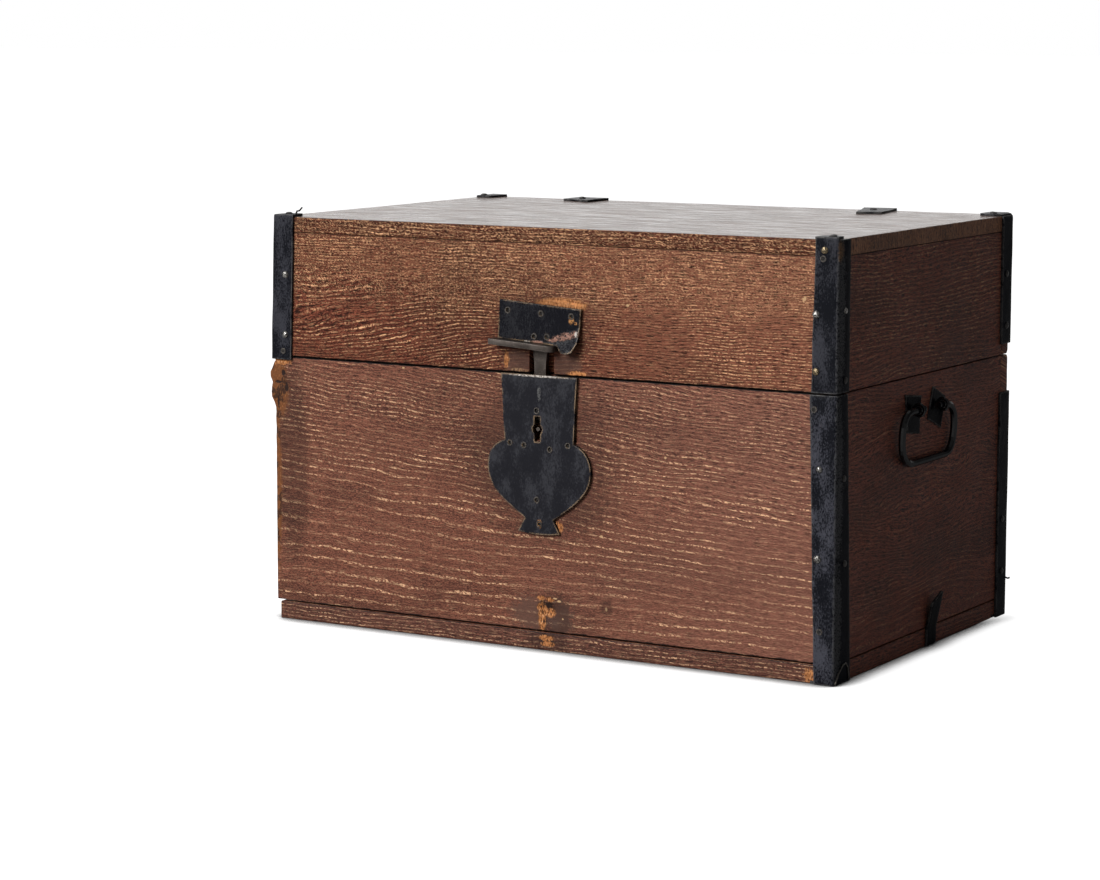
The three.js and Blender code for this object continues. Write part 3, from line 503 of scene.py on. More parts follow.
def bare_iron(name, seed, tone=(0.095, 0.078, 0.068)):
    material = new_material(name)
    spot, *_ = millimetres()
    spot = vector_calc("ADD", spot, (seed, seed, 0))
    mottled = clouds(spot, 0.1, 5, 0.65)
    fine = clouds(spot, 0.9, 3, 0.7)
    color = blend(step(mottled, 0.32, 0.68), (0.05, 0.04, 0.034), tone)
    color = blend(times(step(fine, 0.55, 0.7), 0.4), color, (0.26, 0.21, 0.17))
    edge = times(step(edge_nearness(0.8 * MM), 0.05, 0.3), 0.7)
    color = blend(edge, color, (0.32, 0.27, 0.23))
    rough = madd(mottled, 0.3, 0.3)
    surface(color, rough, calc("ADD", mottled, fine), 0.4, 0.3 * MM, Metallic=0.75)
    return material


def nail_metal(name, tone, metallic=0.8, gloss=0.35):
    material = new_material(name)
    spot, *_ = millimetres()
    speck = clouds(spot, 1.1, 4, 0.7)
    color = blend(step(speck, 0.4, 0.62), (0.03, 0.026, 0.024), tone)
    rough = madd(speck, 0.3, gloss - 0.1)
    surface(color, rough, speck, 0.6, 0.3 * MM, Metallic=metallic)
    return material


# Mesh tools

def adopt(mesh_object, body, slot_name, material, *replaced):
    """Puts a made piece on its body, with its finish, in place of the nodes that it stands for."""
    mesh_object.data.materials.clear()
    mesh_object.data.materials.append(material)
    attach(mesh_object, body)
    if replaced:
        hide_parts(*replaced)
    return mesh_object


def object_from(name, mesh):
    made = bpy.data.objects.new(name, mesh)
    bpy.context.scene.collection.objects.link(made)
    return made


def mesh_from(name, made):
    data = bpy.data.meshes.new(name)
    made.to_mesh(data)
    made.free()
    return data


def cut(made, operation, cutter, solver):
    """Works a boolean with cutter into the object's mesh, and removes cutter."""
    modifier = made.modifiers.new("cut", "BOOLEAN")
    modifier.operation = operation
    modifier.object = cutter
    modifier.solver = solver
    graph = bpy.context.evaluated_depsgraph_get()
    mesh = bpy.data.meshes.new_from_object(made.evaluated_get(graph))
    made.modifiers.clear()
    made.data = mesh
    bpy.data.objects.remove(cutter)


def smooth_by_angle(mesh, degrees=35):
    mesh.shade_smooth()
    mesh.set_sharp_from_angle(angle=math.radians(degrees))


def grid_lines(low, high, pitch, rim):
    """Lines from low to high, close together within the rim and a pitch apart between."""
    near = [0, 0.12, 0.3, 0.55, 0.8, 1]
    inner_low, inner_high = low + rim, high - rim
    if inner_high - inner_low < rim:
        return [low + (high - low) * share for share in (0, 0.08, 0.2, 0.35, 0.5, 0.65, 0.8, 0.92, 1)]
    count = max(1, round((inner_high - inner_low) / pitch))
    middle = [inner_low + (inner_high - inner_low) * i / count for i in range(1, count)]
    return [low + rim * s for s in near] + middle + [high - rim * s for s in reversed(near)]


def worn_block(low, high, pitch, rim, radius_at):
    """A block whose faces are grids and whose edges are rounded by radius_at(point)."""
    lines = [grid_lines(low[i], high[i], pitch, rim) for i in range(3)]
    last = [len(line) - 1 for line in lines]
    mesh = bmesh.new()
    made = {}

    def vertex(i, j, k):
        if (i, j, k) not in made:
            point = Vector((lines[0][i], lines[1][j], lines[2][k]))
            made[(i, j, k)] = mesh.verts.new(rounded_point(point, low, high, radius_at(point)))
        return made[(i, j, k)]

    for axis in range(3):
        first, second = (axis + 1) % 3, (axis + 2) % 3
        for end in (0, last[axis]):
            for a in range(last[first]):
                for b in range(last[second]):
                    ring = [(a, b), (a + 1, b), (a + 1, b + 1), (a, b + 1)]
                    if end == 0:
                        ring.reverse()
                    corners = []
                    for da, db in ring:
                        index = [0, 0, 0]
                        index[axis], index[first], index[second] = end, da, db
                        corners.append(vertex(*index))
                    mesh.faces.new(corners)
    return mesh


def rounded_point(point, low, high, radius):
    core = Vector([min(max(point[i], low[i] + radius), high[i] - radius) for i in range(3)])
    away = point - core
    if away.length < 1e-9:
        return point
    return core + away.normalized() * min(away.length, radius)


def copy_of(name, tag):
    return object_from(tag, nodes[name].data.copy())


def tidy_cad(made):
    """Merges a copied node's split vertices and flat triangles into whole faces."""
    mesh = bmesh.new()
    mesh.from_mesh(made.data)
    bmesh.ops.remove_doubles(mesh, verts=mesh.verts, dist=0.002 * MM)
    bmesh.ops.dissolve_limit(
        mesh, angle_limit=math.radians(1), verts=mesh.verts, edges=mesh.edges,
        use_dissolve_boundaries=False,
    )
    mesh.to_mesh(made.data)
    mesh.free()
    return made


# Boards

EDGE_WEAR = 1.1 * MM
HAIR = 0.03 * MM
RIM = 5 * MM
JOINT_GAP = 1.1 * MM


def plain_edges(point):
    return EDGE_WEAR * (0.75 + 0.5 * noise.noise(point * 45))


def base_front_edges(point):
    """The bare front left corner, which has lost its iron, is rounder and chipped."""
    radius = plain_edges(point)
    if point.x < -RIGHT_FACE + 12 * MM and point.y < FRONT_FACE + 7 * MM:
        chips = 0.5 + 0.5 * noise.noise(point * 130 + Vector((3, 1, 8)))
        upper = clamped((point.z - 75 * MM) / (50 * MM))
        radius += (1 + 2.2 * chips * upper) * MM
    return radius


def board(name, body, material, pitch=9 * MM, edges=plain_edges, carve=None):
    """A board with worn edges, cut as its node is cut."""
    low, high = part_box(name)
    hair = Vector((HAIR, HAIR, HAIR))
    mesh = worn_block(low + hair, high - hair, pitch, RIM, edges)
    if carve:
        for vertex in mesh.verts:
            vertex.co = carve(vertex.co)
    made = object_from(f"wood_{name}", mesh_from(f"wood_{name}", mesh))
    cut(made, "INTERSECT", tidy_cad(copy_of(name, "cutter")), "MANIFOLD")
    smooth_by_angle(made.data)
    return adopt(made, body, slot_of(name), material, name)


def slot_of(name):
    return next(s["material_slot"] for s in frame["record"]["subparts"] if s["node"] == name)


# The place where the front clip was torn off: its middle and its half sizes, in millimetres
SCAR_X, SCAR_Z = 7, 31
SCAR_WIDE, SCAR_TALL = 8.5, 13.5


def lifted(point):
    """A hair's gap above the bottom board."""
    if point.z < BOTTOM_TOP + 1.2 * MM:
        return point + Vector((0, 0, JOINT_GAP))
    return point


def torn_front(point):
    """The base's front board, with splinters gone where the clip was."""
    point = lifted(point)
    across = (point.x / MM - SCAR_X) / SCAR_WIDE
    up = (point.z / MM - SCAR_Z) / SCAR_TALL
    reach = math.hypot(across, up)
    if point.y > FRONT_FACE + 2 * MM or reach > 1.3:
        return point
    ragged = reach + 0.55 * noise.noise(Vector((point.x * 180, 0, point.z * 60)))
    depth = max(0, 1 - ragged) * (2.2 + 2.4 * noise.noise(point * 300))
    return point + Vector((0, max(0, depth) * MM, 0))


LID_TONES = ((0.015, 0.004, 0.0022), (0.086, 0.0205, 0.0112), (0.18, 0.05, 0.027))
EDGE_TONES = ((0.01, 0.0025, 0.0015), (0.062, 0.014, 0.0075), (0.135, 0.036, 0.019))
# This and the base's paler colour two lines down are the colours of the painted sheen of light on the
# fronts
LID_SHEEN = (0.33, 0.125, 0.074)
BASE_TONES = ((0.032, 0.0105, 0.0075), (0.148, 0.051, 0.031), (0.235, 0.086, 0.052))
BASE_SHEEN = (0.29, 0.12, 0.082)
BOTTOM_TONES = ((0.03, 0.01, 0.007), (0.105, 0.037, 0.023), (0.16, 0.058, 0.038))
SIDE_TONES = ((0.01, 0.003, 0.003), (0.12, 0.033, 0.021), (0.24, 0.069, 0.041))
END_TONES = ((0.02, 0.009, 0.006), (0.17, 0.07, 0.036), (0.33, 0.15, 0.08))
TOP_TONES = ((0.04, 0.02, 0.015), (0.1, 0.052, 0.037), (0.16, 0.088, 0.062))
PARTITION_TONES = ((0.12, 0.07, 0.04), (0.25, 0.155, 0.09), (0.34, 0.22, 0.135))
OCHRE = (1, 0.56, 0.29)
ROSE = (1, 0.6, 0.34)
PALE_LINE = (0.55, 0.31, 0.18)

FACE = FRONT_FACE / MM
LID_MARKS = [
    ("smooth", -22, 222, (12, 6, 9), 0.2),
    ("smooth", 22.5, 222, (12.5, 6, 9), 0.2),
    ("bare", 17, 268, (21, 6, 5), 0.7),
    ("raw", -31.5, 223, (2.2, 5, 6), 1.7),
    ("bare", 31, 216, (8, 5, 2), 1.6),
    ("speck", 221.7, 281.8, (1.5, 5, 1.7), 2.4), ("speck", 75.2, 270.3, (1.1, 5, 0.9), 1),
    ("speck", 147.4, 316.2, (1.8, 5, 1.2), 0.7), ("bare", 232.3, 300, (0.9, 5, 30), 0.3),
    ("bare", 230.7, 243, (0.9, 5, 30), 0.3),
    ("pale", -20, 216, (8, 5, 1.6), 1),
    ("stain", 2, 244, (42, 6, 32), 1),
]
BASE_MARKS = [
    ("smooth", -8, 28, (19, 5, 13), 1.6), ("smooth", 17, 25, (11, 5, 15), 1.6),
    ("stain", 12.5, 27, (14, 5, 19), 1.1),
    ("hole", 1, 27, (3.4, 5, 14.5), 1.4), ("hole", 5.5, 33, (5.4, 5, 5.6), 1.4),
    ("raw", -0.6, 40.6, (3.6, 5, 1.9), 1.3),
    ("raw", 6.4, 39.8, (3.8, 5, 1.7), 1.3),
    ("raw", 0.2, 25, (3.2, 5, 11.5), 1.2),
    ("raw", 6.6, 29.5, (5.2, 5, 3.8), 1.3),
    ("raw", -1.4, 33.5, (3, 5, 2.2), 1),
    ("raw", 1, 12.5, (2.6, 5, 4), 1.2),
    ("hole", 5.1, 34.1, (1.7, 4, 1.7), 0.4),
    ("speck", 15.5, 39.5, (1.6, 5, 0.8), 0.6), ("speck", 12, 41.4, (1.8, 5, 0.7), 0.6),
    ("speck", 18.9, 26, (0.7, 5, 0.7), 0.4), ("speck", 108, 157.9, (1, 5, 1), 1),
    ("speck", 52.9, 93.3, (1.3, 5, 1), 0.5), ("speck", 57.4, 37.6, (0.9, 5, 1.7), 1.2),
    ("stain", 57.4, 38.5, (5.5, 5, 5.5), 0.9), ("speck", -126.5, 211.5, (1.1, 5, 0.8), 1),
    ("stain", -234, 130, (15, 5, 82), 0.8),
    ("broken", -250, 187, (12, 11, 24), 0.6),
    ("broken", -252, 110, (6.5, 9, 74), 0.6),
    ("raw", -246, 209.5, (11, 9, 2.4), 1.3),
    ("hole", -242.5, 200.5, (1.8, 5, 2.4), 0.5),
    ("hole", -239.5, 189, (1.8, 5, 3.6), 0.8),
    ("hole", -246.5, 193, (3.6, 5, 1.1), 1.4), ("hole", -247.5, 178, (1.2, 5, 6), 1.4),
    ("stain", 0, 145, (64, 5, 60), 0.9),
    ("raw", 14, 97, (5, 4, 4.5), 0.8),
]
BOTTOM_MARKS = [
    ("stain", SCAR_X - 2, 7, (18, 6, 10), 0.8),
    ("hole", 4.6, 7.6, (6.6, 6, 4.4), 1.4),
    ("raw", 4, 9.5, (6.4, 6, 2.2), 1.3),
    ("raw", 5.6, 5.2, (6, 6, 2), 1.3),
    ("raw", 230, 5, (5, 5, 5.5), 1.3),
]


def clamped(amount):
    return min(1, max(0, amount))


def spread_corner(made):
    """Bends the broken top of the base's front left corner outward, in lumps."""
    reach = 12 * MM
    for vertex in made.data.vertices:
        point = vertex.co
        room = base_front[1].z - 4 * MM - point.z
        rise = clamped((point.z - 172 * MM) / (7 * MM)) * clamped(room / (3 * MM))
        near = max(0, 1 - (point.y - FRONT_FACE) / reach) * max(0, 1 - (point.x + RIGHT_FACE) / reach)
        lump = 3.2 + 3 * noise.noise(point * 150)
        point.x -= max(0, lump) * min(1, 1.3 * near) * rise * MM


def finish_faces(made, rim, ends, under=None):
    """Gives a flat board's rim, its ends and, if it is given one, its underside a finish of their own."""
    for finish in (rim, ends, under):
        if finish:
            made.data.materials.append(finish)
    for face in made.data.polygons:
        if abs(face.normal.z) < 0.6:
            face.material_index = 1 if abs(face.normal.y) > abs(face.normal.x) else 2
        elif under and face.normal.z < 0:
            face.material_index = 3


def build_fronts():
    lid_wood = oak(
        "oak_lid_front", "xzy", 2, LID_TONES, (OCHRE, 0.85), 14, 2.4, (-0.11, 290, 225, 20),
        LID_MARKS, specular=0.1, flecks_above=262, sheen=(-120, 260, LID_SHEEN, 0.6),
        joints=[(SEAM, 1.5, 1), (lid_top[0].z, 0.6, 0.5)], bead=(1.85, 0.42),
    )
    base_wood = oak(
        "oak_base_front", "xzy", 31, BASE_TONES, (ROSE, 0.9), 13, 3, (0.08, 20, 130, 300),
        BASE_MARKS, specular=0.15, open_below=(150, 178, 112), sheen=(-60, 260, BASE_SHEEN, 0.6),
        joints=[(SEAM, 1.5, 1), (BOTTOM_TOP, 2.6, 1)], bead=(2.25, 0.55),
    )
    board("lid_front_board", "lid", lid_wood)
    spread_corner(board("base_front_board", "base", base_wood, 4 * MM, base_front_edges, torn_front))


def build_backs_and_sides():
    board("lid_back_board", "lid", oak("oak_lid_back", "xzy", 44, LID_TONES, (OCHRE, 0.8), 20))
    board("base_back_board", "base", oak("oak_base_back", "xzy", 57, BASE_TONES, (ROSE, 0.8), 22))
    joints = [(SEAM, 0.8, 0.4), (BOTTOM_TOP, 1, 1), (lid_top[0].z, 0.8, 0.7)]
    side = {"joints": joints, "bead": (2.4, 0.6)}
    for name, seed in (("lid_left_board", 12), ("lid_right_board", 17)):
        wood = oak(f"oak_{name}", "yzx", seed, SIDE_TONES, (PALE_LINE, 0.9), 14, 3.4, **side)
        board(name, "lid", wood)
    side["open_below"] = (150, 60, 105)
    for name, seed in (("base_left_board", 23), ("base_right_board", 64)):
        wood = oak(f"oak_{name}", "yzx", seed, SIDE_TONES, (PALE_LINE, 0.6), 34, 3.4, **side)
        board(name, "base", wood, carve=lifted)


def build_top_and_bottom():
    top = oak(
        "oak_top", "xyz", 71, TOP_TONES, (PALE_LINE, 0.35), 16, gloss=0.36, coat=0.96, relief=1,
    )
    rim = oak(
        "oak_top_edge", "xzy", 75, EDGE_TONES, (OCHRE, 0.95), 10, 3.2, flecks_above=250,
        specular=0.1, bead=(2.4, 0.55), joints=[(lid_top[0].z, 0.7, 0.5)],
    )
    ends = oak("oak_top_end", "zyx", 77, END_TONES, (PALE_LINE, 0.7), 3, 2.6)
    inside = oak("oak_top_inside", "xyz", 79, BASE_TONES, (PALE_LINE, 0.5), 16)
    finish_faces(board("lid_top_board", "lid", top), rim, ends, inside)
    under = oak("oak_bottom", "xyz", 83, BASE_TONES, (ROSE, 0.7), 16)
    rim = oak(
        "oak_bottom_edge", "xzy", 87, BOTTOM_TONES, (ROSE, 0.7), 10, marks=BOTTOM_MARKS,
        joints=[(BOTTOM_TOP, 1, 1)], bead=(2.2, 0.55),
    )
    ends = oak("oak_bottom_end", "yzx", 89, SIDE_TONES, (PALE_LINE, 0.5), 8)
    finish_faces(board("bottom_board", "base", under), rim, ends)


def build_partitions():
    plain = oak("oak_partition", "xzy", 91, PARTITION_TONES, (OCHRE, 0.2), 14)
    for name in ("partition_long", "partition_cross_left", "partition_cross_right"):
        board(name, "base", plain, 12 * MM, lambda point: 0.5 * MM)


# Iron pieces

def cut_in_slices(mesh, pitch):
    """Cuts every face along planes a pitch apart on each axis, so that it can bend."""
    points = [vertex.co.copy() for vertex in mesh.verts]
    for axis in range(3):
        low, high = min(p[axis] for p in points), max(p[axis] for p in points)
        count = int((high - low) / pitch)
        normal = Vector((0, 0, 0))
        normal[axis] = 1
        for i in range(1, count + 1):
            place = Vector((0, 0, 0))
            place[axis] = low + (high - low) * i / (count + 1)
            geometry = mesh.verts[:] + mesh.edges[:] + mesh.faces[:]
            bmesh.ops.bisect_plane(mesh, geom=geometry, plane_co=place, plane_no=normal, dist=1e-7)


PLATES = []


def forged(name, body, material, pitch=7 * MM, bevel=0.45 * MM, stray=0.35 * MM, holes=()):
    """A plate with softened, slightly uneven edges, from its node; holes are nail holes (x, z, radius)."""
    made = tidy_cad(copy_of(name, f"iron_{name}"))
    for x, z, radius in holes:
        bore(made, Vector((x, FRONT_FACE - 1 * MM, z)), radius)
    mesh = bmesh.new()
    mesh.from_mesh(made.data)
    sharp = [e for e in mesh.edges if e.is_manifold and e.calc_face_angle() > math.radians(40)]
    bmesh.ops.bevel(
        mesh, geom=sharp, offset=bevel, segments=2, profile=0.6, affect="EDGES", clamp_overlap=True,
    )
    cut_in_slices(mesh, pitch)
    for vertex in mesh.verts:
        vertex.co = vertex.co + stray * noise.noise_vector(vertex.co * 38)
    bmesh.ops.recalc_face_normals(mesh, faces=mesh.faces)
    mesh.to_mesh(made.data)
    mesh.free()
    smooth_by_angle(made.data, 50)
    corners = [vertex.co for vertex in made.data.vertices]
    PLATES.append(BVHTree.FromPolygons(corners, [face.vertices for face in made.data.polygons]))
    return adopt(made, body, slot_of(name), material, name)


def seated(spot, normal):
    """The point and the facing of the iron that a nail at spot is driven through."""
    hits = [tree.ray_cast(spot + normal * 12 * MM, -normal, 22 * MM) for tree in PLATES]
    hits = [hit for hit in hits if hit[0] is not None]
    if not hits:
        return spot, normal
    nearest = min(hits, key=lambda hit: hit[3])
    return nearest[0], nearest[1]


def bore(made, centre, radius):
    """A hole through a plate on the front."""
    mesh = bmesh.new()
    turn = Matrix.Translation(centre) @ Matrix.Rotation(math.pi / 2, 4, "X")
    bmesh.ops.create_cone(
        mesh, cap_ends=True, segments=14, radius1=radius, radius2=radius, depth=12 * MM, matrix=turn,
    )
    cut(made, "DIFFERENCE", object_from("bore", mesh_from("bore", mesh)), "EXACT")


def build_irons():
    black = painted_iron("black_iron", 0, dust=0.9, scrapes=RIDGE_SCRAPES_AND_HIGHLIGHTS)
    # A darker, less dusty copy of the black paint for the clips, straps and roves on the sides and back,
    # turned from the key light: painted shade
    shaded_black = painted_iron("black_iron_shaded", 40, (0.003, 0.003, 0.0045), dust=0.5)
    for name in ("front_left", "front_right", "back_left", "back_right"):
        made = forged(f"lid_iron_{name}", "lid", black)
        if name == "front_left":
            lengthen_foot(made)
    dusty = painted_iron("black_iron_base", 20, dust=1.4, scrapes=RIDGE_SCRAPES_AND_HIGHLIGHTS)
    for name in ("front_right", "back_right", "back_left"):
        forged(f"base_iron_{name}", "base", dusty)
    for name in ("right", "left", "back"):
        forged(f"bottom_clip_{name}", "base", shaded_black, 5 * MM)
    for side in ("left", "right"):
        forged(f"hinge_lid_strap_{side}", "lid", shaded_black)
        forged(f"hinge_base_strap_{side}", "base", shaded_black)
        for end in ("front", "back"):
            forged(f"rove_{side}_{end}", "base", shaded_black, 5 * MM, 0.25 * MM, 0.2 * MM)


def lengthen_foot(made):
    """Draws the lowest part of an iron down a little past the seam."""
    for vertex in made.data.vertices:
        vertex.co.z -= 3.2 * MM * max(0, 1 - (vertex.co.z - SEAM) / (20 * MM))


def build_lock():
    lock_black = painted_iron(
        "black_iron_lock", 80, (0.006, 0.006, 0.01), TAN_RUB_AND_EDGE_GLINT, 0.36, 0.24, 0.65, LOCK_SCRAPES, 0.8,
    )
    hasp_black = painted_iron(
        "black_iron_hasp", 97, (0.003, 0.003, 0.006), TAN_RUB_AND_EDGE_GLINT, 0.26, 0.18, 0.35, HASP_SCRAPES, 0.8,
    )
    holes = [(x * MM, z * MM, BORED) for x, z in LOCK_HOLES]
    forged("lock_plate", "base", lock_black, 6 * MM, 0.4 * MM, 0.3 * MM, holes)
    holes = [(x * MM, z * MM, BORED) for x, z in HASP_HOLES]
    forged("hasp_plate", "lid", hasp_black, 4 * MM, 0.4 * MM, 0.2 * MM, holes)
    forged("lock_tongue", "lid", bare_iron("brown_iron", 0), 4 * MM, 0.5 * MM, 0.3 * MM)


# Nail holes in the lock plate and the hasp plate: their radius, and x and z in millimetres
BORED = 1.5 * MM
LOCK_HOLES = [
    (-3, 186.1), (-27.1, 160), (-14.5, 158.9), (8.6, 157), (24.7, 160.9), (-3.1, 117.1),
    (-0.8, 98.6),
]
HASP_HOLES = [(-28.7, 262), (0.8, 260.7), (27.6, 259.7), (-5.2, 242.9), (6, 243)]

# Places worn through the paint of the front right irons' ridge and of the two plates, and painted
# highlights: the grey along the ridge is partly wear and partly a painted highlight of its bend, and the
# plates carry painted glints
# Grey for the ridge streaks: partly rubbed paint, partly a painted highlight along the bend
RIDGE_GREY_AND_HIGHLIGHT = (0.07, 0.07, 0.075)
RIDGE_SCRAPES_AND_HIGHLIGHTS = [
    ((249.8, FACE, 268), (1.5, 9, 62), 1.5, RIDGE_GREY_AND_HIGHLIGHT), ((249.8, FACE, 150), (1.4, 9, 60), 1.5, RIDGE_GREY_AND_HIGHLIGHT),
    ((249.8, FACE, 45), (1.4, 9, 45), 1.6, RIDGE_GREY_AND_HIGHLIGHT), ((229.5, FACE, 120), (1.1, 9, 90), 1.4, RIDGE_GREY_AND_HIGHLIGHT),
    ((251, FACE - 2, 318), (2, 9, 9), 0.8, (0.2, 0.12, 0.07)),
]
# Tan for the edges of the lock and hasp plates: partly rubbed metal, partly a painted highlight along
# their outline
TAN_RUB_AND_EDGE_GLINT = (0.42, 0.28, 0.16)
COPPER = (0.36, 0.19, 0.14)
# A near-white colour for painted glints: highlights painted on the plates as colour
PAINTED_GLINT = (0.62, 0.56, 0.5)
SPLINTER = (0.5, 0.23, 0.08)
HASP_SCRAPES = [
    ((11, FACE, 240.8), (5, 9, 1.4), 0.9, COPPER), ((18, FACE, 242.6), (6, 9, 2), 0.9, COPPER),
    ((25, FACE, 244.6), (6, 9, 2.6), 0.9, COPPER), ((31, FACE, 246.4), (4, 9, 2.6), 0.9, COPPER),
    ((-2, FACE, 238.6), (5, 9, 1.5), 0.8, COPPER),
    # The four patches in the glint colour are painted glints on the hasp's crease and lower edges
    ((-12, FACE, 238.6), (2.8, 9, 0.8), 0.5, PAINTED_GLINT), ((32.6, FACE, 246.4), (1.6, 9, 2.4), 0.4, PAINTED_GLINT),
    ((16, FACE, 231.6), (3.4, 9, 1.3), 0.8, PAINTED_GLINT), ((25, FACE, 230.6), (3.4, 9, 1.6), 0.8, PAINTED_GLINT),
    ((27.8, FACE, 257.4), (2.2, 9, 3.4), 0.9, SPLINTER),
    ((31.6, FACE, 254.6), (1.4, 9, 1.2), 0.6, SPLINTER),
]
LOCK_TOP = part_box("lock_plate")[1].z / MM
LOCK_SCRAPES = [
    # The first is a painted highlight along the plate's top edge
    ((-0.5, FACE, LOCK_TOP - 0.8), (26, 9, 0.8), 0.8, PAINTED_GLINT),
    ((-1, FACE, 199), (1.6, 9, 4.5), 1.4, (0.1, 0.1, 0.1)),
    ((-0.8, FACE, 98.6), (2.2, 9, 3.4), 0.5, SPLINTER),
]


def build_small_parts():
    """The nodes that keep their own shape: bails, eyes, pins and the lock's works."""
    dark = painted_iron("bail_iron", 120, (0.001, 0.001, 0.0025), gloss=0.14, specular=0.5, dust=0.05,
                        edge_rub_and_glint_amount=0.1, relief=0.12)
    brown = bare_iron("works_iron", 30)
    spring = bare_iron("spring_steel", 60, (0.3, 0.31, 0.33))
    finishes = {"black_iron": dark, "bare_iron": brown, "spring_steel": spring}
    for name, thing in nodes.items():
        if thing.hide_render:
            continue
        for slot_index in range(len(thing.material_slots)):
            thing.material_slots[slot_index].material = finishes[slot_of(name)]
        smooth_by_angle(thing.data, 45)


# Nails

def dome(mesh, centre, normal, radius, height, seed):
    """A hammered nail head: a low lopsided dome with a short rim down to the plate."""
    chance = random.Random(seed)
    turn = Vector((0, 0, 1)).rotation_difference(normal).to_matrix()
    rows = [(1, -0.25), (1.02, 0.25), (0.85, 0.62), (0.5, 0.92)]
    sides = 12
    rings = []
    tilt = Vector((chance.uniform(-0.14, 0.14), chance.uniform(-0.14, 0.14), 0))
    for share, rise in rows:
        ring = []
        for i in range(sides):
            angle = 2 * math.pi * i / sides
            wobble = 1 + chance.uniform(-0.07, 0.07)
            local = Vector((math.cos(angle), math.sin(angle), 0)) * radius * share * wobble
            local.z = height * rise + local.dot(tilt)
            ring.append(mesh.verts.new(centre + turn @ local))
        rings.append(ring)
    top = mesh.verts.new(centre + turn @ Vector((0, 0, height)))
    foot = mesh.verts.new(centre + turn @ Vector((0, 0, -0.25 * height)))
    for low, high in zip(rings, rings[1:]):
        for i in range(sides):
            j = (i + 1) % sides
            mesh.faces.new((low[i], low[j], high[j], high[i]))
    for i in range(sides):
        j = (i + 1) % sides
        mesh.faces.new((rings[-1][i], rings[-1][j], top))
        mesh.faces.new((rings[0][j], rings[0][i], foot))


FRONT, RIGHT, UP, BACK = Vector((0, -1, 0)), Vector((1, 0, 0)), Vector((0, 0, 1)), Vector((0, 1, 0))
LEFT = -RIGHT
IRON = 2
FRONT_IRON = FACE - IRON
SIDE_IRON = RIGHT_FACE / MM + IRON
BACK_IRON = BACK_FACE / MM + IRON
TOP_IRON = LID_TOP / MM + IRON
LOCK_FACE = FACE - 2.5
BURR = 0.5 * MM
STRAP_FACE = BACK_FACE / MM + 1.8
LEFT_STRAP, RIGHT_STRAP = -140.5, 132.5


def driven(facing, face, radius, *spots):
    """Nails of one radius in the plane at face, each at the two coordinates of its spot along it."""
    axis = max(range(3), key=lambda i: abs(facing[i]))
    return [((*spot[:axis], face, *spot[axis:]), facing, radius) for spot in spots]


LID_BRASS = driven(FRONT, FRONT_IRON, 2.6, (238.7, 318.2), (232.7, 230.5))
LID_BRIGHT = [
    *driven(FRONT, FRONT_IRON, 2.8, (-237.9, 279.9), (-238.9, 232), (232.6, 271.7)),
    *driven(RIGHT, SIDE_IRON, 2.1, (-149.2, 274.4)),
]
LID_DARK = [
    *driven(RIGHT, SIDE_IRON, 2.6, (-147.8, 223.7), (148.6, 279.4), (150.2, 237.6)),
    *driven(UP, TOP_IRON, 3, (241, -152)),
    *driven(UP, TOP_IRON, 2.8, (-240, -152)),
    *driven(UP, TOP_IRON, 3, (-241, 141), (241, 141), (-143.5, 146), (136, 140)),
    *driven(LEFT, -SIDE_IRON, 2.6, (-149, 290), (-149, 240), (149, 290), (149, 240)),
    *driven(BACK, BACK_IRON, 2.6, (-238, 300), (-238, 240), (238, 300), (238, 240)),
    *driven(BACK, STRAP_FACE, 2.8, (LEFT_STRAP, 300), (LEFT_STRAP, 250)),
    *driven(BACK, STRAP_FACE, 2.8, (RIGHT_STRAP, 300), (RIGHT_STRAP, 250)),
]
LID_HOLES = [
    *driven(FRONT, FRONT_IRON, 2, (237.5, 312.1)),
    *driven(FRONT, FRONT_IRON, 1.9, (-241, 218.5)),
]
BASE_BRIGHT = [
    *driven(FRONT, FRONT_IRON, 3, (235.6, 93)),
    *driven(FRONT, FRONT_IRON, 2.4, (236.5, 159.1)),
]
BASE_DARK = [
    *driven(RIGHT, SIDE_IRON, 2.6, (-147.9, 151.9), (-145.5, 89), (149.5, 80), (150, 37)),
    *driven(LEFT, -SIDE_IRON, 2.6, (149, 150), (149, 50)),
    *driven(BACK, BACK_IRON, 2.6, (-238, 150), (-238, 50), (238, 150), (238, 50)),
    *driven(BACK, STRAP_FACE, 2.8, (LEFT_STRAP, 190), (LEFT_STRAP, 150)),
    *driven(BACK, STRAP_FACE, 2.4, (LEFT_STRAP, 118)),
    *driven(BACK, STRAP_FACE, 2.8, (RIGHT_STRAP, 190), (RIGHT_STRAP, 150)),
    *driven(BACK, STRAP_FACE, 2.4, (RIGHT_STRAP, 118)),
    *driven(BACK, BACK_IRON, 2.4, (0, 32)),
    *driven(LEFT, -SIDE_IRON, 2.4, (13, 32)),
]
BASE_HOLES = driven(FRONT, FRONT_IRON, 2, (231.6, 202.6), (238, 39.4))


def rim(mesh, centre, normal, radius, thick, seed):
    """The raised burr round a nail hole: an uneven ring that lies on the plate."""
    chance = random.Random(seed)
    turn = Vector((0, 0, 1)).rotation_difference(normal).to_matrix()
    around, about = 18, 6
    grid = []
    for i in range(around):
        angle = 2 * math.pi * i / around
        swell = thick * (1 + chance.uniform(-0.3, 0.3))
        out = Vector((math.cos(angle), math.sin(angle), 0))
        row = []
        for j in range(about):
            turned = 2 * math.pi * j / about
            local = out * (radius + swell * math.cos(turned))
            local.z = swell * math.sin(turned)
            row.append(mesh.verts.new(centre + turn @ local))
        grid.append(row)
    for i in range(around):
        here, there = grid[i], grid[(i + 1) % around]
        for j in range(about):
            k = (j + 1) % about
            mesh.faces.new((here[j], there[j], there[k], here[k]))


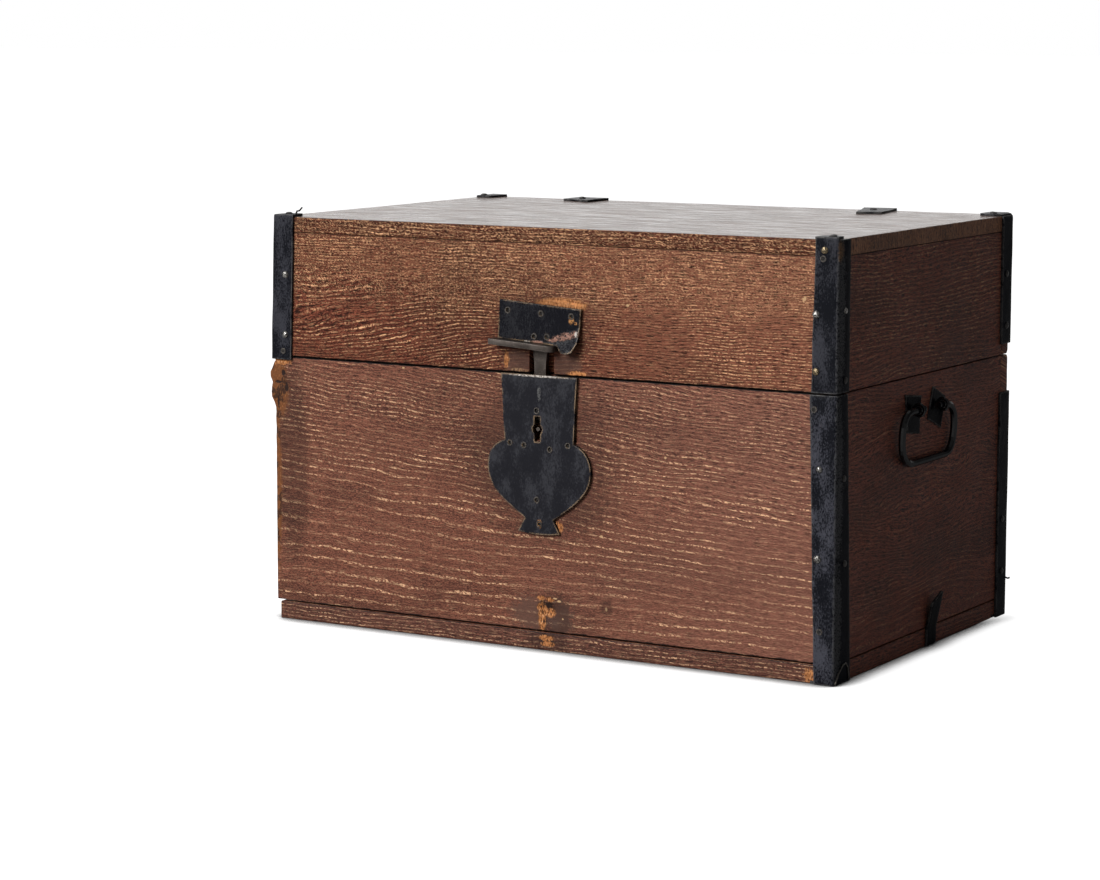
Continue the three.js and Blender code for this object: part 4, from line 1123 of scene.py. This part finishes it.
def piece_of(name, body, mesh, material):
    data = mesh_from(name, mesh)
    smooth_by_angle(data, 50)
    return adopt(object_from(name, data), body, "black_iron", material)


def nail_group(name, body, spots, material, height=1):
    mesh = bmesh.new()
    for index, (spot, normal, radius) in enumerate(spots):
        place, facing = seated(Vector(spot) * MM, normal)
        dome(mesh, place, facing, radius * MM, height * MM, f"{name}{index}")
    return piece_of(name, body, mesh, material)


def hole_group(name, body, spots, burr, pit):
    """Nail holes: each a burr, and a near-black disc sunk in it as the painted shade inside the hole."""
    rims, hole_shade_discs = bmesh.new(), bmesh.new()
    for index, (spot, normal, radius) in enumerate(spots):
        place, facing = seated(Vector(spot) * MM, normal)
        rim(rims, place, facing, radius * MM, BURR, f"{name}{index}")
        dome(hole_shade_discs, place, facing, 0.95 * radius * MM, 0.12 * MM, f"{name}pit{index}")
    piece_of(f"{name}_burrs", body, rims, burr)
    piece_of(f"{name}_pits", body, hole_shade_discs, pit)


def plate_nails(name, body, holes, burr, pit):
    """Burrs round the holes bored in a plate, and near-black discs sunk in them as the painted shade
    inside the holes.
    """
    rims, hole_shade_discs = bmesh.new(), bmesh.new()
    for index, (x, z) in enumerate(holes):
        beside, facing = seated(Vector((x + 2.4, LOCK_FACE, z)) * MM, FRONT)
        place = Vector((x * MM, beside.y, z * MM))
        rim(rims, place, facing, 2.1 * MM, BURR, f"{name}{index}")
        dome(hole_shade_discs, place + Vector((0, 1.3 * MM, 0)), FRONT, 1.3 * MM, 0.5 * MM, f"{name}pit{index}")
    piece_of(f"{name}_burrs", body, rims, burr)
    piece_of(f"{name}_pits", body, hole_shade_discs, pit)


def wire(name, body, points, radius, material):
    """A bent round wire through points in millimetres."""
    data = bpy.data.curves.new(name, "CURVE")
    data.dimensions = "3D"
    data.bevel_depth = radius * MM
    data.bevel_resolution = 2
    data.use_fill_caps = True
    line = data.splines.new("POLY")
    line.points.add(len(points) - 1)
    for spot, place in zip(line.points, points):
        spot.co = (*(c * MM for c in place), 1)
    made = object_from(f"{name}_path", data)
    mesh = bpy.data.meshes.new_from_object(made.evaluated_get(bpy.context.evaluated_depsgraph_get()))
    bpy.data.objects.remove(made)
    smooth_by_angle(mesh, 60)
    return adopt(object_from(name, mesh), body, "black_iron", material)


def build_nails():
    brass = nail_metal("brassy_nail", (0.55, 0.42, 0.24))
    bright = nail_metal("bright_nail", (0.5, 0.48, 0.45), 0.9, 0.25)
    dark = nail_metal("dark_nail", (0.05, 0.047, 0.046), 0.5, 0.4)
    burr = nail_metal("hole_burr", (0.15, 0.13, 0.11), 0.4, 0.4)
    # Near-black matt metal for the discs that paint the shade inside the nail holes
    pit = nail_metal("nail_hole_shade", (0.002, 0.002, 0.002), 0, 0.9)
    over = LID_TOP / MM
    bent = [(-231, -156, over + 1), (-229.5, -156, over + 4.5), (-227, -156, over + 5)]
    bent.append((-224.5, -156, over + 7.5))
    wire("bent_nail", "lid", bent, 0.7, dark)
    out = SIDE_IRON + 0.5
    loop = [(-159.6, 1), (-154.5, 7.7), (-146.5, 13.6), (-142, 14.4), (-138.4, 11), (-136.6, 5)]
    loop.append((-136.4, 1))
    wire("foot_wire", "base", [(out, y, z) for y, z in loop], 0.6, burr)
    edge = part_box("base_iron_back_right")[1] / MM
    splinter = [(-1, -1, 30.4), (0.8, 0.4, 29.2), (2.4, 1, 30)]
    splinter = [(edge.x + x, edge.y + y, z) for x, y, z in splinter]
    wire("burr_back_right", "base", splinter, 0.7, dark)
    nail_group("nails_lid_brassy", "lid", LID_BRASS, brass, 1.5)
    nail_group("nails_lid_bright", "lid", LID_BRIGHT, bright, 1.6)
    nail_group("nails_lid", "lid", LID_DARK, dark, 1.4)
    nail_group("nails_base_bright", "base", BASE_BRIGHT, bright, 1.7)
    nail_group("nails_base", "base", BASE_DARK, dark, 1.4)
    hole_group("holes_lid", "lid", LID_HOLES, burr, pit)
    hole_group("holes_base", "base", BASE_HOLES, burr, pit)
    plate_nails("nails_lock_plate", "base", LOCK_HOLES, burr, pit)
    plate_nails("nails_hasp_plate", "lid", HASP_HOLES, burr, pit)


# Studio

CAMERA_AT = Vector((1.2015, -2.1376, 0.4873))
CAMERA_PITCH = 7.963
CAMERA_AZIMUTH = 31.11
CAMERA_FOCUS = 3058.8
PHOTO_WIDTH = 1100


def build_camera():
    data = bpy.data.cameras.new("camera")
    data.sensor_width = 36
    data.lens = CAMERA_FOCUS / PHOTO_WIDTH * data.sensor_width
    data.clip_end = 50
    camera = bpy.data.objects.new("camera", data)
    camera.location = CAMERA_AT
    camera.rotation_euler = (math.radians(90 - CAMERA_PITCH), 0, math.radians(CAMERA_AZIMUTH))
    bpy.context.scene.collection.objects.link(camera)
    bpy.context.scene.camera = camera


def soft_light(name, at, towards, size, power):
    data = bpy.data.lights.new(name, "AREA")
    data.shape = "RECTANGLE"
    data.size, data.size_y = size
    data.energy = power
    lamp = bpy.data.objects.new(name, data)
    lamp.location = at
    lamp.rotation_euler = (Vector(towards) - Vector(at)).to_track_quat("-Z", "Y").to_euler()
    bpy.context.scene.collection.objects.link(lamp)


def build_floor():
    bpy.ops.mesh.primitive_plane_add(size=60, location=(0, 0, -0.2 * MM))
    floor = bpy.context.object
    floor.name = "studio_floor"
    material = new_material("studio_floor")
    path = node("ShaderNodeLightPath").outputs
    seen = calc("MAXIMUM", path["Is Camera Ray"], times(path["Is Glossy Ray"], 0.12))
    seen = calc("MAXIMUM", seen, path["Is Transmission Ray"])
    spot = node("ShaderNodeTexCoord").outputs["Object"]
    reach = vector_calc("LENGTH", spot)
    # The floor glows white for the camera; the AO node cuts the glow where the case stands close, which
    # paints its contact shadow, while far off and just behind the case the glow stays full
    cover = node("ShaderNodeAmbientOcclusion", {"Distance": 0.03}, samples=12).outputs["AO"]
    depth = parts_of(spot)[1]
    glow = strongest([step(cover, 0.5, 0.86), step(reach, 0.6, 0.9)])
    glow = strongest([glow, step(depth, 0.1, 0.168)])
    shader = node(
        "ShaderNodeBsdfPrincipled",
        {"Base Color": (0.3, 0.3, 0.3), "Roughness": 0.9, "Specular IOR Level": 0.1,
         "Emission Color": (1, 1, 1), "Emission Strength": times(seen, glow)},
    )
    node("ShaderNodeOutputMaterial", {0: shader.outputs[0]})
    floor.data.materials.append(material)


def build_world():
    """A white backdrop for what the camera sees, bright behind on the left and dim on the right."""
    world = bpy.data.worlds.new("studio")
    bpy.context.scene.world = world
    world.use_nodes = True
    start_tree(world.node_tree)
    path = node("ShaderNodeLightPath").outputs
    way = parts_of(node("ShaderNodeTexCoord").outputs["Generated"])
    behind = times(step(way["X"], 0.3, -0.25), step(way["Y"], -0.1, 0.4))
    backdrop = madd(behind, 0.9, 0.1)
    mirrored = calc("MAXIMUM", path["Is Glossy Ray"], path["Is Transmission Ray"])
    strength = calc("MAXIMUM", times(mirrored, backdrop), 0.16)
    strength = calc("MAXIMUM", strength, path["Is Camera Ray"])
    back = node("ShaderNodeBackground", {"Color": (1, 1, 1), "Strength": strength})
    node("ShaderNodeOutputWorld", {0: back.outputs[0]})


def build_studio():
    build_camera()
    build_world()
    build_floor()
    soft_light("key", (-1.7, -3.9, 2.5), (0, 0, 0.15), (2.2, 2.2), 240)
    soft_light("fill_top", (-0.6, 0.2, 2.4), (0, 0, 0.2), (2, 1.8), 14)
    bpy.context.scene.view_settings.view_transform = "Standard"


build_studio()
build_fronts()
build_backs_and_sides()
build_top_and_bottom()
build_partitions()
build_irons()
build_lock()
build_small_parts()
build_nails()
